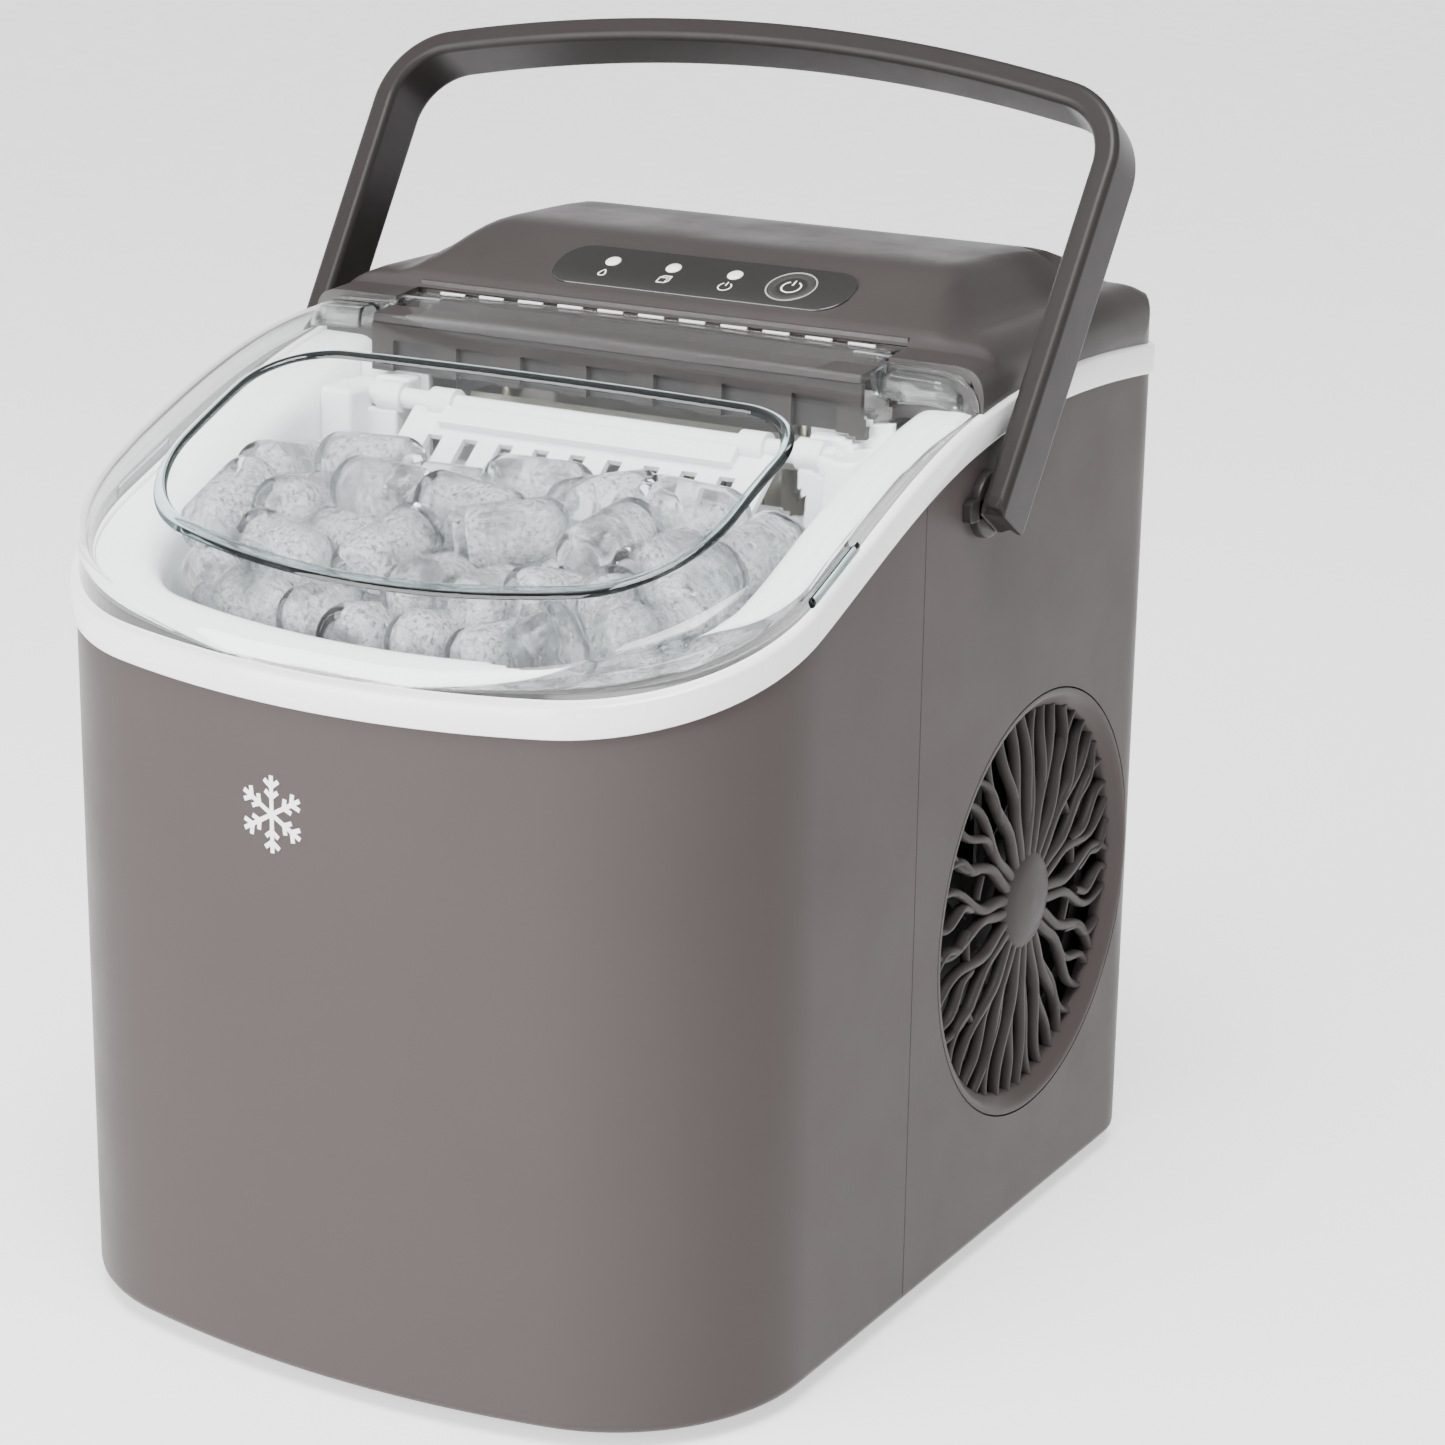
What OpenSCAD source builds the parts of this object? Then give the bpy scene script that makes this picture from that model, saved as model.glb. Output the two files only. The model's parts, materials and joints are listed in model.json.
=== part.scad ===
// Countertop bullet ice maker: a casing on a base pan, a clear lid over an ice basket, a tilting
// water tray under a cold plate with nine fingers, and a small refrigeration circuit behind.
// Millimetres, +Z up, the front faces -Y, origin under the middle of the casing on the worktop.

/* [Casing] */
// Width over the side walls
body_w = 222; // [200:1:270]
// Depth from the middle of the bowed front to the rear wall
body_d = 282; // [264:1:345]
// Height of the casing rim at the rear, where it is highest
rim_z = 249; // [232:1:302]
// Wall thickness of the two casing shells
wall = 2.5; // [1.8:0.1:3.2]
// How far the front wall bows forward of its corners
front_bulge = 21; // [14:1:26]
// Plan radius of the two front corners
front_r = 58; // [44:1:64]
// Plan radius of the two rear corners
rear_r = 20; // [12:1:26]
// Distance from the front to the seam between the shells
seam_at = 123; // [110:1:132]
// Height of the gap under the casing
foot_h = 4.5; // [3:0.5:8]

/* [Trim band and liner] */
// Height of the trim band
band_h = 9; // [6:0.5:12]
// How far the band stands proud of the casing
band_proud = 1.5; // [0.5:0.1:2]
// Width of the band's foot, inwards from the casing's face
band_in = 4; // [3.6:0.1:6]
// Distance from the casing's face to the tub's inner wall
tub_inset = 24; // [20:1:28]
// Wall thickness of the liner
liner_t = 2.5; // [1.8:0.1:3]
// Height of the underside of the tub
tub_z = 75; // [66:1:92]

/* [Lid] */
// Distance from the front of the casing to the rear edge of the lid
lid_len = 166.3; // [162:0.1:170]
// Thickness of the clear lid
lid_t = 2.5; // [2:0.1:3]
// Half width of the tongue that carries the lid's knuckles
tongue_x = 80.5; // [70:0.5:84]
// Radius of the lid's hinge pins
hinge_r = 1.2; // [1:0.1:1.4]
// Gap kept between the lid and the fixed parts it closes on
lid_gap = 0.4; // [0.3:0.1:0.8]

/* [Deck and controls] */
// Height of the deck's crest above the casing rim
crest_h = 34.5; // [26:0.5:44]
// Half width of the raised middle of the deck
hump_x = 76; // [66:1:80]
// Wall thickness of the deck
deck_t = 2.5; // [2:0.1:3]
// Width of the control overlay
panel_w = 98; // [84:1:110]
// Height of the control overlay, along the slope
panel_h = 21; // [18:0.5:23]
// Radius of the power button
button_r = 7; // [5:0.1:8]
// Radial gap round the power button
button_gap = 0.35; // [0.3:0.05:0.6]
// Travel of the power button
button_travel = 0.8; // [0.5:0.1:1.2]

/* [Handle] */
// Lean of the handle from upright, as it is parked
handle_lean = 33.5; // [10:0.5:50]
// Height of the handle's pivot below the rear rim
pivot_drop = 20; // [16:0.5:26]
// Length from the pivot to the top face of the handle at its middle
handle_len = 134.3; // [124:0.1:150]
// Thickness of the handle's strap
strap_t = 7.3; // [5:0.1:9]
// Width of the handle's strap
strap_w = 18; // [14:0.5:22]
// Radius of the handle's pivot pins
pivot_r = 4; // [3:0.1:5]
// Radial running clearance in every pivot
run_gap = 0.05; // [0.02:0.01:0.09]

/* [Fan] */
// Radius of the dished ring round the fan grille
grille_ring_r = 63.6; // [60:0.1:66]
// Radius of the ribbed part of the grille
grille_r = 57.8; // [52:0.1:58]
// Radius over the fan's blade tips
blade_r = 50; // [40:0.5:51]
// Number of ribs in the grille
ribs = 24; // [12:1:30]

/* [Ice making] */
// Inner radius of the water tray
tray_r = 24; // [22:0.5:26]
// Radius of one freezing finger
finger_r = 4.5; // [3.5:0.1:5]
// Distance between neighbouring fingers of one row
finger_pitch = 22; // [18:1:24]
// Length of the shovel plate, along its slope
shovel_l = 34; // [28:1:36]
// Depth of the ice basket
basket_h = 90; // [72:1:100]

/* [Hidden] */
$fn = 64;

far = 800;              // longer than the whole machine, for cutting prisms
front_y = -body_d / 2;
rear_y = body_d / 2;
side_x = body_w / 2;
seam_y = front_y + seam_at;
band_top = rim_z + band_h;
deck_y = front_y + lid_len;      // the lid's rear edge and the deck's front lip
ear_y = deck_y - 11.3;           // rear end of the lid's two ears
ledge_y = deck_y - 24;           // front edge of the deck's ledge under the lid
lid_rear_z = rim_z + 18.3;
tongue_slope = 0.107;
ledge_drop = lid_t + lid_gap;

// A cubic curve through two ends with two control points.
function bez(p, t) = pow(1 - t, 3) * p[0] + 3 * pow(1 - t, 2) * t * p[1]
    + 3 * (1 - t) * t * t * p[2] + pow(t, 3) * p[3];
function curve(p, n) = [for (i = [0 : n]) bez(p, i / n)];
function arc(c, r, a0, a1, n) =
    [for (i = [0 : n]) let (a = a0 + (a1 - a0) * i / n) c + r * [cos(a), sin(a)]];
function shift(pts, d) = [for (p = pts) p + d];
function flip(pts) = [for (i = [len(pts) - 1 : -1 : 0]) pts[i]];

// Plan outline of the casing, drawn inwards by inset: a bowed front, two large front corners,
// straight sides, and two small rear corners. All its arcs stay concentric.
bow_r = (side_x * side_x + front_bulge * front_bulge) / (2 * front_bulge);
corner_x = side_x - front_r;
bow_y = front_y + bow_r;
corner_y = bow_y - sqrt(pow(bow_r - front_r, 2) - corner_x * corner_x);
corner_a = atan2(corner_y - bow_y, corner_x);
function outline(inset) =
    let (rr = max(rear_r - inset, 1), rx = side_x - inset - rr, ry = rear_y - inset - rr)
    concat(
        arc([-corner_x, corner_y], front_r - inset, 180, 540 - (360 + corner_a), 10),
        arc([0, bow_y], bow_r - inset, -180 - corner_a, corner_a, 12),
        arc([corner_x, corner_y], front_r - inset, corner_a, 0, 10),
        arc([rx, ry], rr, 0, 90, 6),
        arc([-rx, ry], rr, 90, 180, 6));

// The rim's S curve, seen from the side: low at the front, level at the rear.
rim_ctrl = [[front_y - 2, rim_z - 57.6], [front_y + 115, rim_z - 29.7],
            [front_y + 115, rim_z + 15], [rear_y + 2, rim_z - 4.5]];
function rim(dz) = shift(curve(rim_ctrl, 22), [0, dz]);

// The lid's top, seen from the side: a nearly level rear, a long slope and a rounded nose.
ledge_lid_z = lid_rear_z - tongue_slope * (deck_y - ledge_y);
lid_slope = [[ledge_y, ledge_lid_z], [ledge_y - 35, ledge_lid_z - 2.2],
             [front_y + 75, rim_z + 1], [front_y + 19, rim_z - 28.5]];
lid_nose = [[front_y + 19, rim_z - 28.5], [front_y + 9, rim_z - 33.5],
            [front_y + 2, rim_z - 42], [front_y - 1, rim_z - 54]];
function lid_top(dz) = shift(concat([[deck_y, lid_rear_z]], curve(lid_slope, 14),
    [for (i = [1 : 6]) bez(lid_nose, i / 6)]), [0, dz]);

// Cutting solids: a side outline pulled along X, a plan outline pulled along Z.
module from_side(pts) rotate([90, 0, 90]) translate([0, 0, -far / 2]) linear_extrude(far) polygon(pts);
module from_front(pts) translate([0, far / 2, 0]) rotate([90, 0, 0]) linear_extrude(far) polygon(pts);
module plan(inset, z0, z1) translate([0, 0, z0]) linear_extrude(z1 - z0) polygon(outline(inset));
module below_rim(dz) from_side(concat(rim(dz), [[rear_y + 2, -10], [front_y - 2, -10]]));
module above_rim(dz) from_side(concat(rim(dz), [[rear_y + 2, far], [front_y - 2, far]]));
module ring(outer, inner, z0, z1) difference() {
    plan(outer, z0, z1);
    plan(inner, z0 - 1, z1 + 1);
}
module box(a, b) translate(a) cube(b - a);
module rod_x(x0, x1, y, z, r) translate([x0, y, z]) rotate([0, 90, 0]) cylinder(r = r, h = x1 - x0);
module rod_y(y0, y1, x, z, r) translate([x, y0, z]) rotate([-90, 0, 0]) cylinder(r = r, h = y1 - y0);
module both_sides() {
    children();
    mirror([1, 0, 0]) children();
}
// A round tube through a list of points, with slightly swollen ball corners.
module tube(pts, r) for (i = [0 : len(pts) - 2]) {
    d = pts[i + 1] - pts[i];
    l = norm(d);
    translate(pts[i]) rotate([0, acos(d.z / l), atan2(d.y, d.x)]) cylinder(r = r, h = l);
    if (i > 0) translate(pts[i]) sphere(r = r * 1.04);
}

// ---------------------------------------------------------------- casing
pan_t = 3;
pan_fit = 0.2;
foot_x = side_x - 30;
foot_front_y = front_y + 48;
foot_rear_y = rear_y - 30;
foot_r = 10;
stud_r = 3;
feet_at = [for (x = [-foot_x, foot_x], y = [foot_front_y, foot_rear_y]) [x, y]];
pan_top = foot_h + pan_t;

module base_pan() color("#4d4a49") difference() {
    union() {
        plan(wall + pan_fit, foot_h, pan_top);
        ring(wall + pan_fit, wall + pan_fit + 2.5, pan_top, pan_top + 9);
    }
    for (p = feet_at) translate([p.x, p.y, foot_h - 1]) cylinder(r = stud_r, h = pan_t + 2);
    for (s = screws_at) rod_y(rear_y - 12, rear_y + 5, s.x, s.y, screw_r);
    for (i = [-4 : 4]) box([i * 14 - 2.5, front_y + 96, foot_h - 1], [i * 14 + 2.5, front_y + 136, pan_top + 1]);
}
module rubber_feet() color("#2b2a2a") for (p = feet_at) translate([p.x, p.y, 0]) {
    cylinder(r1 = foot_r - 1, r2 = foot_r, h = foot_h);
    cylinder(r = stud_r, h = pan_top);
}
module shell_wall() intersection() {
    ring(0, wall, foot_h, rim_z + 20);
    below_rim(0);
}
seam_gap = 0.3;
module front_shell() color("#7d7473") intersection() {
    shell_wall();
    box([-far, -far, 0], [far, seam_y - seam_gap, far]);
}

fan_y = rear_y - 80;
fan_z = foot_h + 96;
ring_fit = 0.2;
pivot_y = deck_y - 9;
pivot_z = rim_z - pivot_drop;
gland_x = side_x - 51;
gland_z = foot_h + 26;
gland_r = 6;
drain_x = -(side_x - 38);
drain_z = foot_h + 27;
drain_r = 11;
vent_n = 9;
vent_pitch = 8;
screw_r = 1.8;
screws_at = [for (x = [-1, 1], z = [foot_h + 8, rim_z - 24]) [x * (side_x - 27), z]];

module rear_shell() color("#7d7473") difference() {
    intersection() {
        shell_wall();
        box([-far, seam_y, 0], [far, far, far]);
    }
    rod_x(side_x - 20, side_x + 10, fan_y, fan_z, grille_ring_r + ring_fit);
    rod_x(-side_x - 10, side_x + 10, pivot_y, pivot_z, pivot_r);
    for (i = [0 : vent_n - 1])
        box([-side_x - 5, fan_y - 36 + i * vent_pitch, fan_z - 42],
            [-side_x + 5, fan_y - 33 + i * vent_pitch, fan_z + 42]);
    for (i = [0 : vent_n - 1])
        box([-36, rear_y - 5, fan_z - 36 + i * vent_pitch], [36, rear_y + 5, fan_z - 33 + i * vent_pitch]);
    rod_y(rear_y - 5, rear_y + 5, gland_x, gland_z, gland_r);
    rod_y(rear_y - 5, rear_y + 5, drain_x, drain_z, drain_r);
    for (s = screws_at) rod_y(rear_y - 5, rear_y + 5, s.x, s.y, screw_r);
}

dish = 4;
rib_t = 2.2;
hub_r = 13.5;
grille_t = 3;
module ring_x(outer, inner, t) difference() {
    rod_x(0, t, 0, 0, outer);
    rod_x(-1, t + 1, 0, 0, inner);
}
module fan_grille() color("#6d6564") translate([side_x - dish - grille_t, fan_y, fan_z]) {
    rotate([0, 90, 0]) rotate_extrude() polygon([[grille_r, 0], [grille_ring_r, 0],
        [grille_ring_r, dish + grille_t], [grille_ring_r - 0.8, dish + grille_t], [grille_r, grille_t]]);
    for (i = [0 : ribs - 1]) rotate([i * 360 / ribs, 0, 0])
        box([0.3, -rib_t / 2, hub_r - 2], [grille_t - 0.3, rib_t / 2, grille_r + 1]);
    rod_x(0, grille_t + 1, 0, 0, hub_r);
    ring_x(grille_r * 0.6 + rib_t / 2, grille_r * 0.6 - rib_t / 2, grille_t - 1);
}

module trim_band() color("#f4f4f2") intersection() {
    ring(-band_proud, band_in, rim_z - 80, band_top + 20);
    below_rim(band_h);
    above_rim(0);
}

// ---------------------------------------------------------------- liner
flange_sink = 1;
shelf_rear_y = deck_y + 32;
tub_rear_y = front_y + 129;
shelf_z = rim_z - 61;
tray_y = deck_y + 3;
tray_z = rim_z - 27;
tray_t = 2;
journal_r = 4;
shovel_y = ledge_y - 5;
shovel_z = rim_z - 9;
shovel_r = 3;
tub_x = side_x - tub_inset;
hose_r = 3.5;
inlet_z = tub_z + 15;
hose_x = 72;
hose_y = tray_y + 20;
outlet_x = -tub_x + 7;
outlet_z = tub_z + 9;
sensor_y = front_y + 80;
sensor_z = rim_z - 40;
sensor_r = 2.5;

module tub_side(d, open_z) from_side([[front_y - 5, tub_z + d], [tub_rear_y - d, tub_z + d],
    [tub_rear_y - d, shelf_z + d], [shelf_rear_y - d, shelf_z + d], [shelf_rear_y - d, open_z],
    [front_y - 5, open_z]]);
module inner_liner() color("#eceeef") difference() {
    union() {
        intersection() {
            plan(tub_inset - liner_t, tub_z, band_top);
            tub_side(0, far / 2);
            below_rim(band_h - flange_sink);
        }
        intersection() {
            plan(band_in, rim_z - 80, band_top + 20);
            below_rim(band_h - flange_sink);
            above_rim(band_h - flange_sink - liner_t);
            box([-far, -far, 0], [far, shelf_rear_y, far]);
        }
        both_sides() rod_x(tub_x + 1, tub_x + liner_t + 3, tray_y, tray_z, journal_r + 3);
    }
    intersection() {
        plan(tub_inset, tub_z - 1, band_top + 30);
        tub_side(liner_t, far / 2);
    }
    rod_x(-side_x + 12, side_x - 12, tray_y, tray_z, journal_r + run_gap);
    rod_x(-side_x + 12, side_x - 12, shovel_y, shovel_z, shovel_r + run_gap);
    rod_x(-side_x + 12, side_x - 12, sensor_y, sensor_z, sensor_r);
    rod_y(tub_rear_y - 5, tub_rear_y + 1, 0, inlet_z, hose_r);
    rod_y(tub_rear_y - 5, tub_rear_y + 1, outlet_x, outlet_z, hose_r);
    translate([hose_x, hose_y, shelf_z - 1]) cylinder(r = hose_r, h = liner_t + 2);
}

// ---------------------------------------------------------------- deck and controls
deck_inset = 0.5;
crest_z = rim_z + crest_h;
slope_y = deck_y + 3;
slope_z = lid_rear_z + 3.1;
panel_tilt = atan(0.4);
crest_front = [[slope_y + 27, slope_z + 10.8], [slope_y + 37, slope_z + 14.8],
               [slope_y + 45, crest_z], [slope_y + 62, crest_z]];
crest_rear = [[rear_y - 36, crest_z - 0.5], [rear_y - 7, crest_z - 2],
              [rear_y - 2, rim_z + 20], [rear_y, rim_z + 3]];
shoulder_z = rim_z + 22;
shoulder_r = 14;
hinge_y = deck_y - 5.8;
hinge_z = lid_rear_z - 2.6;
knuckle_r = 2.5;
ear_gap = 0.7;                   // room for the lid's edges to turn past the deck
lip_gap = 1;
cheek_t = 4;

// Side and front outlines of the deck's skin, both drawn inwards by d.
function deck_side(d, y0) = concat([[y0, 0], [y0, lid_rear_z - d + tongue_slope * (y0 - deck_y)],
    [deck_y + lip_gap, lid_rear_z - d], [slope_y, slope_z - d]], shift(curve(crest_front, 6), [0, -d]),
    shift(curve(crest_rear, 8), [-d, -d]), [[rear_y - d, 0]]);
function deck_half(d) = concat([[side_x - deck_inset - d, 0]],
    arc([side_x - deck_inset - shoulder_r, shoulder_z - shoulder_r], shoulder_r - d, 0, 85, 6),
    [[hump_x + 15, shoulder_z - d + 1], [hump_x + 10, shoulder_z - d + 4], [hump_x + 5, crest_z - d - 2.5],
     [hump_x - d, crest_z - d + 1], [hump_x - 4, far / 2]]);
function deck_front(d) = concat(deck_half(d), flip([for (p = deck_half(d)) [-p.x, p.y]]));
module deck_block(d, y0) intersection() {
    plan(deck_inset + d, rim_z - 20, crest_z + 5);
    from_side(deck_side(d, y0));
    from_front(deck_front(d));
}
// The control plane: X along the machine, Y up the slope, Z out of it, on the deck's surface.
panel_y = slope_y + 14.5;
panel_z = slope_z + 5.8;
module on_slope(x, u, n) translate([0, panel_y, panel_z]) rotate([panel_tilt, 0, 0])
    translate([x, u, n]) children();
panel_x = 6;
panel_t = 1;
panel_r = 8;
button_x = panel_x + 29.5;
led_x = [for (i = [0 : 2]) panel_x - 31.3 + i * 20.5];
led_u = 1.5;
led_r = 2.5;

module top_deck() color("#7d7473") difference() {
    union() {
        difference() {
            deck_block(0, ear_y + ear_gap);
            deck_block(deck_t, ear_y + ear_gap + deck_t);
            box([-tongue_x - lid_gap, ear_y - 5, rim_z - 30], [tongue_x + lid_gap, deck_y + lip_gap, far]);
        }
        // ledge under the lid, its front corners, the wall behind the tongue and the hinge cheeks
        intersection() {
            plan(band_in, rim_z - 20, crest_z);
            from_side([[ledge_y, ledge_lid_z - ledge_drop], [deck_y - 13, ledge_lid_z - ledge_drop + 1.2],
                       [deck_y - 13, ledge_lid_z - ledge_drop - 1.3], [ledge_y, ledge_lid_z - ledge_drop - 2.5]]);
        }
        intersection() {
            plan(band_in, rim_z - 20, crest_z);
            both_sides() box([tub_x + 0.5, ledge_y, rim_z - 10], [side_x, ledge_y + 2.5, ledge_lid_z - ledge_drop]);
        }
        difference() {
            box([-tongue_x - 2, deck_y + 3, rim_z + 6], [tongue_x + 2, deck_y + 5, slope_z - 1]);
            both_sides() box([riser_x - 5, deck_y, rim_z], [riser_x + 5, deck_y + 6, line_z + 4]);
        }
        both_sides() box([tongue_x + lid_gap, ear_y + ear_gap, rim_z + 6],
                         [tongue_x + lid_gap + cheek_t, deck_y + 5, lid_rear_z - 1.2]);
        both_sides() box([tongue_x + lid_gap, ledge_y, rim_z + 6],
                         [tongue_x + lid_gap + cheek_t, ear_y + ear_gap + 1, ledge_lid_z - ledge_drop - 0.5]);
    }
    below_rim(band_h);
    rod_x(-far, far, hinge_y, hinge_z, hinge_r);
    on_slope(panel_x, 0, 0) panel_plate(0.15, -0.6, 2);
    on_slope(button_x, 0, -6) cylinder(r = button_r + button_gap, h = 8);
    for (x = led_x) on_slope(x, led_u, -6) cylinder(r = led_r, h = 8);
}
module panel_plate(grow, n0, n1) translate([0, 0, n0]) linear_extrude(n1 - n0)
    polygon(concat(arc([panel_w / 2 - panel_r, panel_h / 2 - panel_r], panel_r + grow, 0, 90, 6),
                   arc([-panel_w / 2 + panel_r, panel_h / 2 - panel_r], panel_r + grow, 90, 180, 6),
                   arc([-panel_w / 2 + panel_r, -panel_h / 2 + panel_r], panel_r + grow, 180, 270, 6),
                   arc([panel_w / 2 - panel_r, -panel_h / 2 + panel_r], panel_r + grow, 270, 360, 6)));
module control_overlay() color("#3d3c3b") difference() {
    on_slope(panel_x, 0, 0) panel_plate(0, -0.6, panel_t - 0.6);
    on_slope(button_x, 0, -6) cylinder(r = button_r + button_gap, h = 8);
    for (x = led_x) on_slope(x, led_u, -6) cylinder(r = led_r, h = 8);
}
module led(i) color("#ffffff") on_slope(led_x[i], led_u, -4.2) {
    cylinder(r = led_r, h = 4.7);
}
board_n = -12;
module control_board() color("#2f6b45") {
    on_slope(panel_x, 0, board_n) translate([-panel_w / 2 + 7, -9, 0]) cube([panel_w - 14, 18, 1.6]);
    on_slope(button_x, 0, board_n + 1.6) translate([-3, -3, 0]) cube([6, 6, 3.5]);
    for (x = led_x) on_slope(x, led_u, board_n + 1.6) cylinder(r = 2, h = 5);
    on_slope(panel_x - 30, -4, board_n + 1.6) translate([-6, -4, 0]) cube([12, 4, 5]);
}
module power_button() color("#4a4847") on_slope(button_x, 0, 0) {
    translate([0, 0, -2.5]) cylinder(r = button_r, h = 3.1);
    translate([0, 0, board_n + 5.1 + button_travel + 0.1]) cylinder(r = 2, h = -board_n - 7.5 - button_travel);
}

cover_z = rim_z - 3;
module evaporator_cover() color("#6d6564") difference() {
    box([-tongue_x, ledge_y, cover_z], [tongue_x, ledge_y + 2, ledge_lid_z - ledge_drop - 2.5]);
    for (i = [-3 : 3]) box([i * 22 - 7, ledge_y - 1, cover_z - 1], [i * 22 + 7, ledge_y + 3, cover_z + 9]);
}

// ---------------------------------------------------------------- lid
lid_inset = 1;
window_x = 86;
window_y0 = front_y + 24;
window_y1 = ledge_y - 35;
module lid_block(inset, d) intersection() {
    plan(inset, rim_z - 70, lid_rear_z + 5);
    from_side(concat(lid_top(-d), [[front_y - 1, 0], [deck_y, 0]]));
}
module lid() color("#dfe8ea", 0.35) difference() {
    union() {
        difference() {
            lid_block(lid_inset, 0);
            lid_block(lid_inset + lid_t, lid_t);
            both_sides() box([tongue_x, ear_y, 0], [far, far, far]);
            box([-far, ear_y, 0], [far, far, lid_rear_z - lid_t - 1.3]);
        }
        intersection() {
            translate([0, 0, rim_z - 60]) linear_extrude(90) polygon(concat(
                arc([window_x - 20, window_y1 - 20], 20, 0, 90, 5),
                arc([-window_x + 20, window_y1 - 20], 20, 90, 180, 5),
                arc([-window_x + 28, window_y0 + 34], 28, 180, 258, 6),
                arc([window_x - 28, window_y0 + 34], 28, 282, 360, 6)));
            difference() {
                lid_block(lid_inset, -1.2);
                lid_block(lid_inset, lid_t / 2);
            }
        }
        both_sides() rod_x(tongue_x - 13, tongue_x, hinge_y, hinge_z, knuckle_r);
    }
    below_rim(band_h + lid_gap);
    rod_x(-far, far, hinge_y, hinge_z, hinge_r + run_gap);
}
module lid_hinge_pins() color("#c8c8c8") both_sides()
    rod_x(tongue_x - 12, tongue_x + lid_gap + cheek_t, hinge_y, hinge_z, hinge_r);

// ---------------------------------------------------------------- handle
bush_t = 2.7;
bush_gap = 0.3;
arm_x = side_x + bush_t + bush_gap;      // inner face of the arms at the pivot
flare = 2.5;
bow_corner = 24.6;
bow_arch = 505;
bow_half = arm_x + strap_t + flare;
bow_cx = bow_half - bow_corner;
bow_cs = handle_len - bow_arch + sqrt(pow(bow_arch - bow_corner, 2) - bow_cx * bow_cx);
bow_a = atan2(bow_cs - handle_len + bow_arch, bow_cx);
function bow_line(d) = let (right = concat([[bow_half - flare - d, 0]],
        arc([bow_cx, bow_cs], bow_corner - d, 0, bow_a, 8),
        arc([0, handle_len - bow_arch], bow_arch - d, bow_a, 90, 8)))
    concat(right, flip([for (p = right) if (p.x > 0.01) [-p.x, p.y]]));
eye_r = 9.5;
pin_flange = 2;
module handle() color("#5d5455") translate([0, pivot_y, pivot_z]) rotate([-handle_lean, 0, 0]) difference() {
    union() {
        translate([0, strap_w / 2, 0]) rotate([90, 0, 0]) linear_extrude(strap_w)
            polygon(concat(bow_line(0), flip(bow_line(strap_t))));
        both_sides() rod_x(arm_x, arm_x + strap_t, 0, 0, eye_r);
    }
    both_sides() rod_x(arm_x - 1, arm_x + strap_t - 1.3, 0, 0, pivot_r + run_gap);
}
module handle_pins() color("#b9b9b9") both_sides() {
    rod_x(side_x - wall - pin_flange, side_x - wall, pivot_y, pivot_z, pivot_r + 3);
    rod_x(side_x - wall, arm_x + strap_t - 1.6, pivot_y, pivot_z, pivot_r);
}
module handle_bushes() color("#4f4849") both_sides() difference() {
    union() {
        rod_x(side_x, side_x + bush_t, pivot_y, pivot_z, eye_r);
        box([side_x, pivot_y - eye_r - 2.5, pivot_z - 3], [side_x + bush_t, pivot_y - 2, pivot_z + 3]);
    }
    rod_x(side_x - 1, side_x + bush_t + 1, pivot_y, pivot_z, pivot_r);
}

// ---------------------------------------------------------------- ice basket and ice making
basket_gap = 2.5;
basket_t = 2;
basket_z = tub_z + 25;
basket_rear_y = tub_rear_y - liner_t - basket_gap;
module ice_basket() color("#e6eaec") difference() {
    intersection() {
        plan(tub_inset + basket_gap, basket_z, basket_z + basket_h);
        box([-far, -far, 0], [far, basket_rear_y, far]);
    }
    intersection() {
        plan(tub_inset + basket_gap + basket_t, basket_z + basket_t, far / 2);
        box([-far, -far, 0], [far, basket_rear_y - basket_t, far]);
    }
    for (i = [-5 : 5]) box([i * 13 - 2, front_y + 40, basket_z - 1], [i * 13 + 2, basket_rear_y - 8, basket_z + 5]);
}
module ice_full_sensors() color("#1e1e20") both_sides() {
    rod_x(tub_x, tub_x + liner_t, sensor_y, sensor_z, sensor_r);
    rod_x(tub_x + liner_t, tub_x + liner_t + 6, sensor_y, sensor_z, sensor_r + 2);
}

tray_x = 62;
module water_tray() color("#dde3e6") {
    difference() {
        rod_x(-tray_x, tray_x, tray_y, tray_z, tray_r + tray_t);
        rod_x(-tray_x + tray_t, tray_x - tray_t, tray_y, tray_z, tray_r);
        box([-tray_x - 1, tray_y - 40, tray_z], [tray_x + 1, tray_y + 40, tray_z + 40]);
    }
    both_sides() intersection() {
        rod_x(tray_x - tray_t, tray_x, tray_y, tray_z, journal_r + 3);
        box([0, -far, tray_z - 0.01], [far, far, far]);
    }
    both_sides() rod_x(tray_x - tray_t, tub_x + liner_t + 2, tray_y, tray_z, journal_r);
}
motor_x = tub_x + liner_t + 3;
module tray_gearmotor() color("#c9c6bd") difference() {
    union() {
        rod_x(-motor_x - 13, -motor_x, tray_y, tray_z - 4, 19);
        box([-motor_x - 2, tray_y - 24, tray_z - 8], [-motor_x, tray_y + 24, tray_z + 2]);
    }
    rod_x(-motor_x - 5, 0, tray_y, tray_z, journal_r + 0.5);
}

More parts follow.
